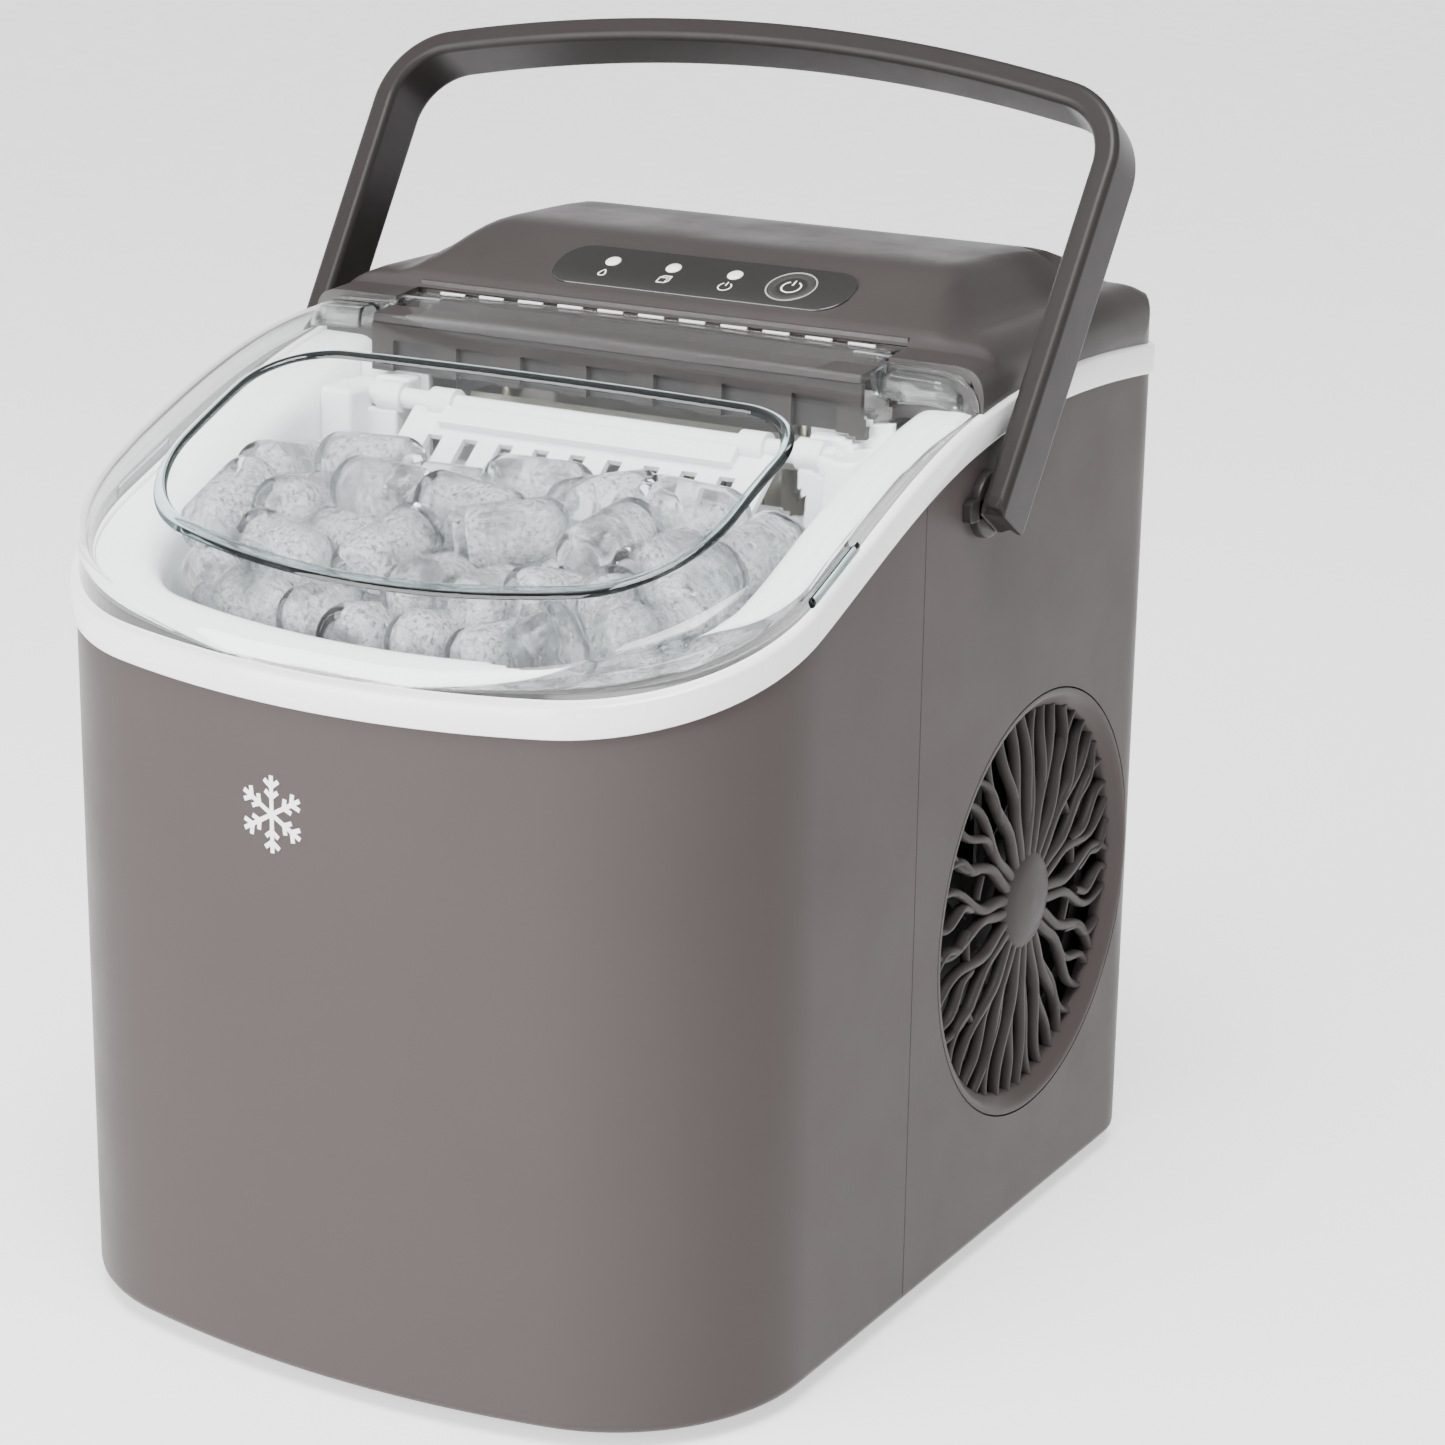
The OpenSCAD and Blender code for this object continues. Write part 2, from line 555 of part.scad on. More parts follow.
shovel_x = 60;
shovel_tilt = 40;
shovel_t = 2;
slot_n = 9;
slot_pitch = 12;
module ice_shovel() color("#f1f3f4") {
    translate([0, shovel_y, shovel_z]) rotate([shovel_tilt, 0, 0]) {
        difference() {
            box([-shovel_x, -shovel_l, -shovel_t / 2], [shovel_x, 0, shovel_t / 2]);
            for (i = [0 : slot_n - 1])
                box([(i - (slot_n - 1) / 2) * slot_pitch - 2.5, -shovel_l + 5, -5],
                    [(i - (slot_n - 1) / 2) * slot_pitch + 2.5, -12, 5]);
        }
        box([-shovel_x + 12, -9, 0], [shovel_x - 12, -3, 3.5]);
    }
    rod_x(-tub_x - liner_t + 0.5, tub_x + liner_t - 0.5, shovel_y, shovel_z, shovel_r);
    both_sides() for (x = [shovel_x - 9, shovel_x + 9]) rod_x(x - 4, x + 4, shovel_y, shovel_z, shovel_r + 1.5);
}

plate_x = 56;
plate_y = 12;
plate_z = tray_z + 8;
fingers_at = concat([for (i = [-2 : 2]) [i * finger_pitch, -6]], [for (i = [-1.5 : 1.5]) [i * finger_pitch, 6]]);
riser_x = 50;
riser_r = 3;
bracket_z = tray_z + 30;
line_z = bracket_z + 8;        // level of the refrigerant lines over the bracket
module evaporator() color("#c7b79f") {
    box([-plate_x, tray_y - plate_y, plate_z], [plate_x, tray_y + plate_y, plate_z + 10]);
    for (p = fingers_at) translate([p.x, tray_y + p.y, tray_z - 11]) {
        cylinder(r = finger_r, h = 20);
        sphere(r = finger_r);
    }
    both_sides() translate([riser_x, tray_y, plate_z + 9]) cylinder(r = riser_r, h = bracket_z + 4 - plate_z - 9);
}
module evaporator_bracket() color("#b8babb") difference() {
    union() {
        box([-66, tray_y - 6, bracket_z], [66, shelf_rear_y - liner_t, bracket_z + 2]);
        both_sides() box([50, shelf_rear_y - liner_t - 2, bracket_z - 14], [66, shelf_rear_y - liner_t, bracket_z + 2]);
    }
    both_sides() translate([riser_x, tray_y, bracket_z - 1]) cylinder(r = riser_r, h = 4);
}

pump_y = tub_rear_y + 18;
pump_z = shelf_z - 68;
pump_h = 38;
module water_pump() color("#d8d8d4") {
    translate([0, pump_y, pump_z]) cylinder(r = 14, h = pump_h);
    translate([0, pump_y, pump_z + pump_h]) cylinder(r = hose_r + 1, h = 4);
    translate([0, pump_y, pump_z - 4]) cylinder(r = hose_r + 1, h = 4);
}
module pump_inlet_hose() color("#e9e9ea", 0.6)
    tube([[0, tub_rear_y - liner_t, inlet_z], [0, pump_y, inlet_z], [0, pump_y, pump_z - 4]], hose_r);
module pump_outlet_hose() color("#e9e9ea", 0.6)
    tube([[0, pump_y, pump_z + pump_h + 4], [0, pump_y, shelf_z - 12], [hose_x, pump_y, shelf_z - 12],
          [hose_x, hose_y, shelf_z - 12], [hose_x, hose_y, tray_z + 20], [hose_x, tray_y - 6, tray_z + 20],
          [tray_x - 4, tray_y - 6, tray_z + 20]], hose_r);

// ---------------------------------------------------------------- refrigeration
comp_x = -(side_x - 62);
comp_y = rear_y - 67;
comp_r = 43;
comp_z = pan_top + 12;
comp_h = 96;
mounts_at = [for (a = [90, 210, 330]) [comp_x + 46 * cos(a), comp_y + 46 * sin(a)]];
module compressor() color("#1c1c1e") {
    translate([comp_x, comp_y, 0]) rotate_extrude() polygon(concat([[0, comp_z], [comp_r - 12, comp_z]],
        arc([comp_r - 12, comp_z + 12], 12, 270, 360, 5), [[comp_r, comp_z + comp_h - 24]],
        arc([comp_r - 24, comp_z + comp_h - 24], 24, 0, 90, 6), [[0, comp_z + comp_h]]));
    difference() {
        for (p = mounts_at) hull() {
            translate([comp_x, comp_y, comp_z + 1]) cylinder(r = 12, h = 3, $fn = 32);
            translate([p.x, p.y, comp_z + 1]) cylinder(r = 8, h = 3, $fn = 32);
        }
        translate([comp_x, comp_y, comp_z - 1]) cylinder(r = comp_r - 16, h = 8);
    }
    translate([comp_x + 20, comp_y, comp_z + comp_h - 2]) cylinder(r = 4, h = 8);
    translate([comp_x - 20, comp_y, comp_z + comp_h - 2]) cylinder(r = 4, h = 8);
}
module compressor_mounts() color("#2a2a2a") for (p = mounts_at)
    translate([p.x, p.y, pan_top]) cylinder(r1 = 8, r2 = 6.5, h = comp_z + 1 - pan_top);
module compressor_terminal_box() color("#3a3a3c") difference() {
    box([comp_x - 14, comp_y - comp_r - 12, comp_z + 26], [comp_x + 14, comp_y - comp_r + 10, comp_z + 62]);
    translate([comp_x, comp_y, 0]) cylinder(r = comp_r, h = far / 2);
}

cond_x0 = side_x - 78;
cond_x1 = side_x - 56;
cond_y0 = fan_y - 46;
fin_n = 22;
fin_pitch = 4.2;
fin_t = 0.8;
cond_z0 = fan_z - 52;
cond_z1 = fan_z + 52;
cond_mid = (cond_x0 + cond_x1) / 2;
run_n = 5;
run_pitch = 20;
run_r = 3.2;
cond_y1 = cond_y0 + (fin_n - 1) * fin_pitch + fin_t;
function run_z(i) = fan_z + (i - (run_n - 1) / 2) * run_pitch;
module condenser_fins() color("#c5c8cb") for (k = [0 : fin_n - 1]) difference() {
    box([cond_x0, cond_y0 + k * fin_pitch, cond_z0], [cond_x1, cond_y0 + k * fin_pitch + fin_t, cond_z1]);
    for (i = [0 : run_n - 1]) rod_y(cond_y0 - 5, cond_y1 + 5, cond_mid, run_z(i), run_r);
}
module condenser_tube() color("#b36b45") {
    for (i = [0 : run_n - 1]) rod_y(cond_y0 - 4, cond_y1 + 4, cond_mid, run_z(i), run_r);
    for (i = [0 : run_n - 2]) translate([cond_mid, i % 2 == 0 ? cond_y1 + 4 : cond_y0 - 4, run_z(i) + run_pitch / 2])
        rotate([0, 90, 0]) rotate([0, 0, i % 2 == 0 ? 0 : 180])
            rotate_extrude(angle = 180) translate([run_pitch / 2, 0]) circle(r = run_r);
}

shroud_x = side_x - 11;
shroud_half = 57;
rotor_hub = 16;
rotor_x0 = side_x - 28;
rotor_x1 = side_x - 13;
motor_r = 17;
shaft_r = 2;
module fan_shroud() color("#3b3a3a") {
    difference() {
        translate([shroud_x - 20, fan_y - shroud_half, fan_z - shroud_half]) cube([20, shroud_half * 2, shroud_half * 2]);
        rod_x(shroud_x - 17, shroud_x + 1, fan_y, fan_z, blade_r + 2.5);
        rod_x(shroud_x - 21, shroud_x, fan_y, fan_z, blade_r - 2);
    }
    for (a = [30, 150, 270]) translate([shroud_x - 20, fan_y, fan_z]) rotate([a, 0, 0])
        box([0, -3, motor_r + 1], [2.5, 3, blade_r - 1]);
    difference() {
        rod_x(shroud_x - 20, shroud_x - 17.5, fan_y, fan_z, motor_r + 3);
        rod_x(shroud_x - 21, shroud_x - 17, fan_y, fan_z, motor_r);
    }
}
module fan_motor() color("#8d8f91") {
    rod_x(rotor_x0 - 26, rotor_x0 - 1.5, fan_y, fan_z, motor_r);
    rod_x(rotor_x0 - 2, rotor_x1 - 4, fan_y, fan_z, shaft_r);
}
blade_n = 7;
module fan_rotor() color("#2e2d2d") difference() {
    union() {
        rod_x(rotor_x0, rotor_x1, fan_y, fan_z, rotor_hub);
        intersection() {
            rod_x(rotor_x0 + 0.5, rotor_x1 - 0.5, fan_y, fan_z, blade_r);
            for (i = [0 : blade_n - 1]) translate([(rotor_x0 + rotor_x1) / 2, fan_y, fan_z])
                rotate([i * 360 / blade_n, 0, 0]) rotate([0, 0, 28]) box([-1, -15, rotor_hub - 3], [1, 15, blade_r + 5]);
        }
    }
    rod_x(rotor_x0 - 1, rotor_x1 - 3.5, fan_y, fan_z, shaft_r + run_gap);
}

drier_x = 8;
drier_y = rear_y - 16;
drier_z = fan_z + 44;
line_r = 2.4;
stub_z = comp_z + comp_h + 6;
line_x = cond_x0 - 10;
module filter_drier() color("#a9653f") {
    translate([drier_x, drier_y, drier_z]) cylinder(r = 8, h = 46);
    translate([drier_x, drier_y, drier_z - 4]) cylinder(r = line_r + 0.6, h = 54);
}
module discharge_line() color("#b36b45")
    tube([[comp_x + 20, comp_y, stub_z], [comp_x + 20, comp_y, stub_z + 12], [line_x, comp_y, stub_z + 12],
          [line_x, cond_y0 - 10, run_z(0)], [cond_mid, cond_y0 - 10, run_z(0)], [cond_mid, cond_y0 - 4, run_z(0)]],
         line_r);
module liquid_line() color("#b36b45")
    tube([[cond_mid, cond_y1 + 4, run_z(run_n - 1)], [cond_mid, cond_y1 + 12, run_z(run_n - 1)],
          [drier_x, cond_y1 + 12, run_z(run_n - 1) - 12], [drier_x, drier_y, run_z(run_n - 1) - 12],
          [drier_x, drier_y, drier_z - 4]], line_r);
module capillary_line() color("#b36b45")
    tube([[drier_x, drier_y, drier_z + 50], [drier_x, drier_y, line_z], [riser_x, tray_y + 30, line_z],
          [riser_x, tray_y, line_z], [riser_x, tray_y, bracket_z + 4]], 1.5);
module suction_line() color("#b36b45")
    tube([[comp_x - 20, comp_y, stub_z], [comp_x - 20, comp_y, line_z], [-riser_x, tray_y + 30, line_z],
          [-riser_x, tray_y, line_z], [-riser_x, tray_y, bracket_z + 4]], line_r);

// ---------------------------------------------------------------- electrics, drain and fasteners
board_x = -(side_x - wall - 6);
module power_board() color("#2f6b45") {
    box([board_x, rear_y - 96, stub_z + 12], [board_x + 1.6, rear_y - 30, stub_z + 66]);
    box([board_x + 1.6, rear_y - 92, stub_z + 18], [board_x + 20, rear_y - 68, stub_z + 46]);
    box([board_x + 1.6, rear_y - 58, stub_z + 44], [board_x + 12, rear_y - 36, stub_z + 60]);
    rod_x(board_x + 1.6, board_x + 16, rear_y - 46, stub_z + 28, 7);
}
module cord_gland() color("#232323") difference() {
    union() {
        rod_y(rear_y - 14, rear_y, gland_x, gland_z, gland_r);
        rod_y(rear_y, rear_y + 1.5, gland_x, gland_z, gland_r + 3);
        rod_y(rear_y - wall - 3, rear_y - wall, gland_x, gland_z, gland_r + 3);
    }
    rod_y(rear_y - 20, rear_y + 5, gland_x, gland_z, 3.6);
}
plug_r = 5;
module drain_fitting() color("#54504f") difference() {
    union() {
        rod_y(rear_y - 18, rear_y, drain_x, drain_z, drain_r);
        rod_y(rear_y - wall - 3, rear_y - wall, drain_x, drain_z, drain_r + 3);
    }
    rod_y(rear_y - 4, rear_y + 1, drain_x, drain_z, drain_r - 1.5);
    rod_y(rear_y - 20, rear_y + 1, drain_x, drain_z, plug_r + run_gap);
}
drop_x = board_x + 3.5;
module drain_hose() color("#e9e9ea", 0.6) tube([[outlet_x, tub_rear_y - liner_t, outlet_z],
    [outlet_x, tub_rear_y + 9, outlet_z], [drop_x, tub_rear_y + 9, outlet_z], [drop_x, tub_rear_y + 9, drain_z],
    [drop_x, rear_y - 23, drain_z], [drain_x, rear_y - 23, drain_z], [drain_x, rear_y - 18, drain_z]], hose_r);
module drain_plug() color("#2f2d2d") {
    rod_y(rear_y - 14, rear_y - 2, drain_x, drain_z, plug_r);
    rod_y(rear_y - 3.7, rear_y - 1, drain_x, drain_z, drain_r - 2);
    box([drain_x - 7, rear_y - 2, drain_z - 1.5], [drain_x + 7, rear_y + 1.2, drain_z + 1.5]);
}
module case_screws() color("#8a8a8a") for (s = screws_at) {
    rod_y(rear_y - 12, rear_y, s.x, s.y, screw_r);
    difference() {
        rod_y(rear_y, rear_y + 1.4, s.x, s.y, 3.4);
        box([s.x - 2.4, rear_y + 0.7, s.y - 0.5], [s.x + 2.4, rear_y + 2, s.y + 0.5]);
        box([s.x - 0.5, rear_y + 0.7, s.y - 2.4], [s.x + 0.5, rear_y + 2, s.y + 2.4]);
    }
}

base_pan();
rubber_feet();
front_shell();
rear_shell();
fan_grille();
trim_band();
inner_liner();
top_deck();
evaporator_cover();
control_overlay();
led(0);  // led_add_water
led(1);  // led_ice_full
led(2);  // led_power
control_board();
power_button();
lid();
lid_hinge_pins();
handle();
handle_pins();
handle_bushes();
ice_basket();
ice_full_sensors();
water_tray();
tray_gearmotor();
ice_shovel();
evaporator();
evaporator_bracket();
water_pump();
pump_inlet_hose();
pump_outlet_hose();
compressor();
compressor_mounts();
compressor_terminal_box();
condenser_fins();
condenser_tube();
fan_shroud();
fan_motor();
fan_rotor();
filter_drier();
discharge_line();
liquid_line();
capillary_line();
suction_line();
power_board();
cord_gland();
drain_fitting();
drain_hose();
drain_plug();
case_screws();
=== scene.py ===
import bpy
import bmesh
import json
import math
import numpy as np
from mathutils import Matrix, Vector


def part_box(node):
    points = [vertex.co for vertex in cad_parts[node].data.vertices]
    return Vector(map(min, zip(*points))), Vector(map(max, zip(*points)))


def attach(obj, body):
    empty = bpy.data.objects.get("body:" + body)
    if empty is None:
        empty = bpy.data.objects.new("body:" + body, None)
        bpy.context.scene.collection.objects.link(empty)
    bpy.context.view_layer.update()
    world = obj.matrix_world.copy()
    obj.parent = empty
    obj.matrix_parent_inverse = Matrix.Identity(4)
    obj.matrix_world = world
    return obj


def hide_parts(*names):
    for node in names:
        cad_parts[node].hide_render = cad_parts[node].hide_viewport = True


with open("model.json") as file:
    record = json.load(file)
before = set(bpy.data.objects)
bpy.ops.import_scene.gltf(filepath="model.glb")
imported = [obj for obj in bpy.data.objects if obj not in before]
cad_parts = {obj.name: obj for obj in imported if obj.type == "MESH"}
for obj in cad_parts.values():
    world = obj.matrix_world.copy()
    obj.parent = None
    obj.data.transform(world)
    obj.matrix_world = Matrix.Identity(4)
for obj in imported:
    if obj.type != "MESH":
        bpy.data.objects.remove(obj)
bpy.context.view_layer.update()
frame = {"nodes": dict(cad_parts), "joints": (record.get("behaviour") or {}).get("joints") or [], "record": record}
SCENE = bpy.context.scene


# -------------------------------------------------- sizes, in millimetres, from the CAD
def mm(node):
    """Lowest and highest corner of a CAD node's box."""
    lo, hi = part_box(node)
    return lo * 1000, hi * 1000


def bez(p, t):
    """Points at t on the cubic with the four control points p."""
    p = [np.asarray(q, float) for q in p]
    t = np.asarray(t, float)[:, None] if np.ndim(t) else t
    return (1 - t) ** 3 * p[0] + 3 * (1 - t) ** 2 * t * p[1] + 3 * (1 - t) * t * t * p[2] + t ** 3 * p[3]


rim_steps = np.linspace(0, 1, 400)
front_lo, front_hi = mm("front_shell")
rear_lo, rear_hi = mm("rear_shell")
side_x, front_y, rear_y, foot_h = front_hi.x, front_lo.y, rear_hi.y, front_lo.z
rim_rise = [-57.6, -29.7, 15, -4.5]
rim_z = rear_hi.z - bez([[0, z] for z in rim_rise], rim_steps)[:, 1].max()
seam_y = rear_lo.y
band_proud = mm("trim_band")[1].x - side_x
bulge, front_r, rear_r, wall = 21.0, 58.0, 20.0, 2.5
deck_y = mm("lid")[1].y
ear_y = deck_y - 11.3
lid_rear_z = rim_z + 18.3
ledge_y = deck_y - 24
ledge_lid_z = lid_rear_z - 0.107 * (deck_y - ledge_y)
tongue_x = 80.5
fan_lo, fan_hi = mm("fan_grille")
fan_y, fan_z = (fan_lo.y + fan_hi.y) / 2, (fan_lo.z + fan_hi.z) / 2
ring_r = (fan_hi.z - fan_lo.z) / 2

rim_curve = bez([[front_y - 2, rim_rise[0]], [front_y + 115, rim_rise[1]],
                 [front_y + 115, rim_rise[2]], [rear_y + 2, rim_rise[3]]], rim_steps)


def rim(y):
    """Height of the casing's upper edge at y."""
    return np.interp(y, rim_curve[:, 0], rim_curve[:, 1]) + rim_z


def arc(cx, cy, r, a0, a1, n):
    """Points on a circle from angle a0 to a1 in degrees, in n steps."""
    a = np.radians(np.linspace(a0, a1, n + 1))
    return [(cx + r * c, cy + r * s) for c, s in zip(np.cos(a), np.sin(a))]


def line(p, q, n):
    """Points from p to q in n steps."""
    return [(p[0] + (q[0] - p[0]) * i / n, p[1] + (q[1] - p[1]) * i / n) for i in range(n + 1)]


bow_r = (side_x ** 2 + bulge ** 2) / (2 * bulge)
bow_y = front_y + bow_r
corner_x = side_x - front_r
corner_y = bow_y - math.sqrt((bow_r - front_r) ** 2 - corner_x ** 2)
corner_a = math.degrees(math.atan2(corner_y - bow_y, corner_x))


def half_front(d, y0, n_side):
    """Right half of the plan from (side, y0) forward to the middle of the front, drawn inwards by d."""
    return (line((side_x - d, y0), (side_x - d, corner_y), n_side)
            + arc(corner_x, corner_y, front_r - d, 0, corner_a, 22)[1:]
            + arc(0, bow_y, bow_r - d, corner_a, -90, 22)[1:])


def half_rear(d, y0, n_side):
    """Right half of the plan from (side, y0) backward to the middle of the rear."""
    rr = max(rear_r - d, 1)
    rx, ry = side_x - d - rr, rear_y - d - rr
    return (line((side_x - d, y0), (side_x - d, ry), n_side) + arc(rx, ry, rr, 0, 90, 12)[1:]
            + line((rx, rear_y - d), (0, rear_y - d), 20)[1:])


def both(half):
    """A U from the right end round to the left end."""
    return half + [(-x, y) for x, y in reversed(half[:-1])]


def outline(d):
    """The whole plan as a closed loop, from the seam on the right round the rear and then the front."""
    return both(half_rear(d, seam_y, 44)) + list(reversed(both(half_front(d, seam_y, 22))))[1:-1]


# -------------------------------------------------- mesh helpers
def make(name, verts, faces, mat, body="body", replaces=(), angle=35, merge=None, up=None):
    """A smooth-shaded object from points in millimetres; up turns an open sheet's faces that way."""
    me = bpy.data.meshes.new(name)
    me.from_pydata([(v[0] / 1000, v[1] / 1000, v[2] / 1000) for v in verts], [], [tuple(f) for f in faces])
    bm = bmesh.new()
    bm.from_mesh(me)
    if merge:
        bmesh.ops.remove_doubles(bm, verts=bm.verts, dist=merge / 1000)
    bmesh.ops.recalc_face_normals(bm, faces=bm.faces)
    if up is not None:
        bm.faces.ensure_lookup_table()
        best = max(bm.faces, key=lambda f: abs(f.normal.dot(Vector(up))) * f.calc_area())
        if best.normal.dot(Vector(up)) < 0:
            bmesh.ops.reverse_faces(bm, faces=bm.faces)
    bm.to_mesh(me)
    bm.free()
    me.materials.append(mat)
    me.shade_smooth()
    me.set_sharp_from_angle(angle=math.radians(angle))
    ob = bpy.data.objects.new(name, me)
    SCENE.collection.objects.link(ob)
    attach(ob, body)
    if replaces:
        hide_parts(*replaces)
    return ob


def loft(rows, loop_rows=False, loop_cols=False, caps=False):
    """Quads between rows of points; caps closes the first and last point of every row."""
    n = len(rows[0])
    verts = [p for r in rows for p in r]
    faces = []
    for i in range(len(rows) if loop_rows else len(rows) - 1):
        j = (i + 1) % len(rows)
        for k in range(n if loop_cols else n - 1):
            m = (k + 1) % n
            faces.append((i * n + k, i * n + m, j * n + m, j * n + k))
    if caps:
        faces.append([i * n for i in range(len(rows))])
        faces.append([i * n + n - 1 for i in range(len(rows))][::-1])
    return verts, faces


def coons(right, across, height):
    """Fills a U: right runs along one side, across along the closed end; the open end is straight."""
    rows, m, n = [], len(right) - 1, len(across) - 1
    for i, p in enumerate(right):
        row, t = [], i / m
        for k, q in enumerate(across):
            x = (1 - 2 * k / n) * p[0] + t * (q[0] - (1 - 2 * k / n) * right[-1][0])
            y = p[1] + t * (q[1] - right[-1][1])
            row.append((x, y, height(x, y)))
        rows.append(row)
    return rows


def solid(ob, t):
    """Gives a sheet a wall t thick, inwards."""
    m = ob.modifiers.new("wall", "SOLIDIFY")
    m.thickness, m.offset, m.use_even_offset = t / 1000, -1.0, True


def bevel(ob, w, segments=2, angle=40):
    """Rounds the edges sharper than angle."""
    m = ob.modifiers.new("round", "BEVEL")
    m.width, m.segments, m.limit_method = w / 1000, segments, "ANGLE"
    m.angle_limit = math.radians(angle)
    n = ob.modifiers.new("shade", "WEIGHTED_NORMAL")
    n.keep_sharp, n.weight = True, 60
    return ob


def settle(ob, angle=35):
    """Applies the modifiers and marks sharp edges again."""
    dg = bpy.context.evaluated_depsgraph_get()
    dg.update()
    me = bpy.data.meshes.new_from_object(ob.evaluated_get(dg))
    ob.modifiers.clear()
    ob.data = me
    me.shade_smooth()
    me.set_sharp_from_angle(angle=math.radians(angle))


def box_mesh(lo, hi):
    """A closed box between two corners."""
    v = [(x, y, z) for x in (lo[0], hi[0]) for y in (lo[1], hi[1]) for z in (lo[2], hi[2])]
    f = [(0, 1, 3, 2), (4, 6, 7, 5), (0, 4, 5, 1), (2, 3, 7, 6), (0, 2, 6, 4), (1, 5, 7, 3)]
    return v, f


def join(parts):
    """Several meshes as one."""
    verts, faces = [], []
    for v, f in parts:
        k = len(verts)
        verts += list(v)
        faces += [tuple(i + k for i in q) for q in f]
    return verts, faces


def prism(poly, place):
    """A closed prism: poly is a list of (a, b), place(a, b, s) puts it at s = 0 and s = 1."""
    n = len(poly)
    v = [place(a, b, 0) for a, b in poly] + [place(a, b, 1) for a, b in poly]
    f = [(i, (i + 1) % n, n + (i + 1) % n, n + i) for i in range(n)]
    return v, f + [list(range(n))[::-1], list(range(n, 2 * n))]


def revolve(profile, place, n=96):
    """profile is a list of (r, h); place(r cos, r sin, h) puts a point. The profile is a closed loop."""
    rows = []
    for i in range(n):
        a = 2 * math.pi * i / n
        rows.append([place(r * math.cos(a), r * math.sin(a), h) for r, h in profile])
    return loft(rows, loop_rows=True, loop_cols=True)


def rounded(w, h, r, n=6, cx=0, cy=0):
    """A rectangle with corners of radius r, as a closed outline."""
    pts = []
    for sx, sy, a in ((1, 1, 0), (-1, 1, 90), (-1, -1, 180), (1, -1, 270)):
        pts += arc(cx + sx * (w / 2 - r), cy + sy * (h / 2 - r), r, a, a + 90, n)
    return pts


def sweep(points, up, size, n, power):
    """A capped tube of superellipse section along points; size(i) is its width and height along up."""
    pts = [Vector(p) for p in points]
    rows = []
    for i, p in enumerate(pts):
        t = (pts[min(i + 1, len(pts) - 1)] - pts[max(i - 1, 0)]).normalized()
        s = t.cross(Vector(up)).normalized()
        u = s.cross(t).normalized()
        w, h = size(i)
        row = []
        for k in range(n):
            a = 2 * math.pi * k / n
            c, q = math.cos(a), math.sin(a)
            c = math.copysign(abs(c) ** (2 / power), c)
            q = math.copysign(abs(q) ** (2 / power), q)
            row.append(tuple(p + s * (c * w / 2) + u * (q * h / 2)))
        rows.append(row)
    v, f = loft(rows, loop_cols=True)
    return v, f + [list(range(n))[::-1], list(range(len(v) - n, len(v)))]


# -------------------------------------------------- materials
class Nodes:
    def __init__(self, name):
        self.mat = bpy.data.materials.new(name)
        self.mat.use_nodes = True
        self.t = self.mat.node_tree
        self.bsdf = next(n for n in self.t.nodes if n.type == "BSDF_PRINCIPLED")
        self.out = next(n for n in self.t.nodes if n.type == "OUTPUT_MATERIAL")
        self.coord = self.add("ShaderNodeTexCoord")

    def add(self, kind, **values):
        """A new node; values go to its inputs, or to its settings where it has no such input."""
        n = self.t.nodes.new(kind)
        for k, v in values.items():
            if k in n.inputs:
                n.inputs[k].default_value = v
            else:
                setattr(n, k, v)
        return n

    def link(self, a, b):
        self.t.links.new(a, b)

    def noise(self, scale, detail=3.0, rough=0.55, stretch=None):
        n = self.add("ShaderNodeTexNoise", Scale=scale, Detail=detail, Roughness=rough)
        if stretch:
            m = self.add("ShaderNodeMapping")
            m.inputs["Scale"].default_value = stretch
            self.link(self.coord.outputs["Object"], m.inputs["Vector"])
            self.link(m.outputs["Vector"], n.inputs["Vector"])
        else:
            self.link(self.coord.outputs["Object"], n.inputs["Vector"])
        return n.outputs["Fac"]

    def ramp(self, fac, a, b, lo=0.3, hi=0.7):
        """Maps fac from lo..hi to a..b."""
        r = self.add("ShaderNodeMapRange")
        r.inputs["From Min"].default_value, r.inputs["From Max"].default_value = lo, hi
        r.inputs["To Min"].default_value, r.inputs["To Max"].default_value = a, b
        self.link(fac, r.inputs["Value"])
        return r.outputs["Result"]

    def mix(self, fac, a, b):
        m = self.add("ShaderNodeMix", data_type="RGBA")
        m.inputs["A"].default_value = (*a, 1)
        m.inputs["B"].default_value = (*b, 1)
        self.link(fac, m.inputs["Factor"])
        return next(o for o in m.outputs if o.type == "RGBA")

    def bump(self, fac, strength, distance=0.0003):
        b = self.add("ShaderNodeBump", Strength=strength, Distance=distance)
        self.link(fac, b.inputs["Height"])
        self.link(b.outputs["Normal"], self.bsdf.inputs["Normal"])

    def lamps_through(self, color):
        """Lets lamps shine through, tinted, where the surface would cast a full shadow."""
        path = self.add("ShaderNodeLightPath")
        through = self.add("ShaderNodeBsdfTransparent", Color=(*color, 1))
        mix = self.add("ShaderNodeMixShader")
        self.link(path.outputs["Is Shadow Ray"], mix.inputs["Fac"])
        self.link(self.bsdf.outputs["BSDF"], mix.inputs[1])
        self.link(through.outputs["BSDF"], mix.inputs[2])
        self.link(mix.outputs["Shader"], self.out.inputs["Surface"])


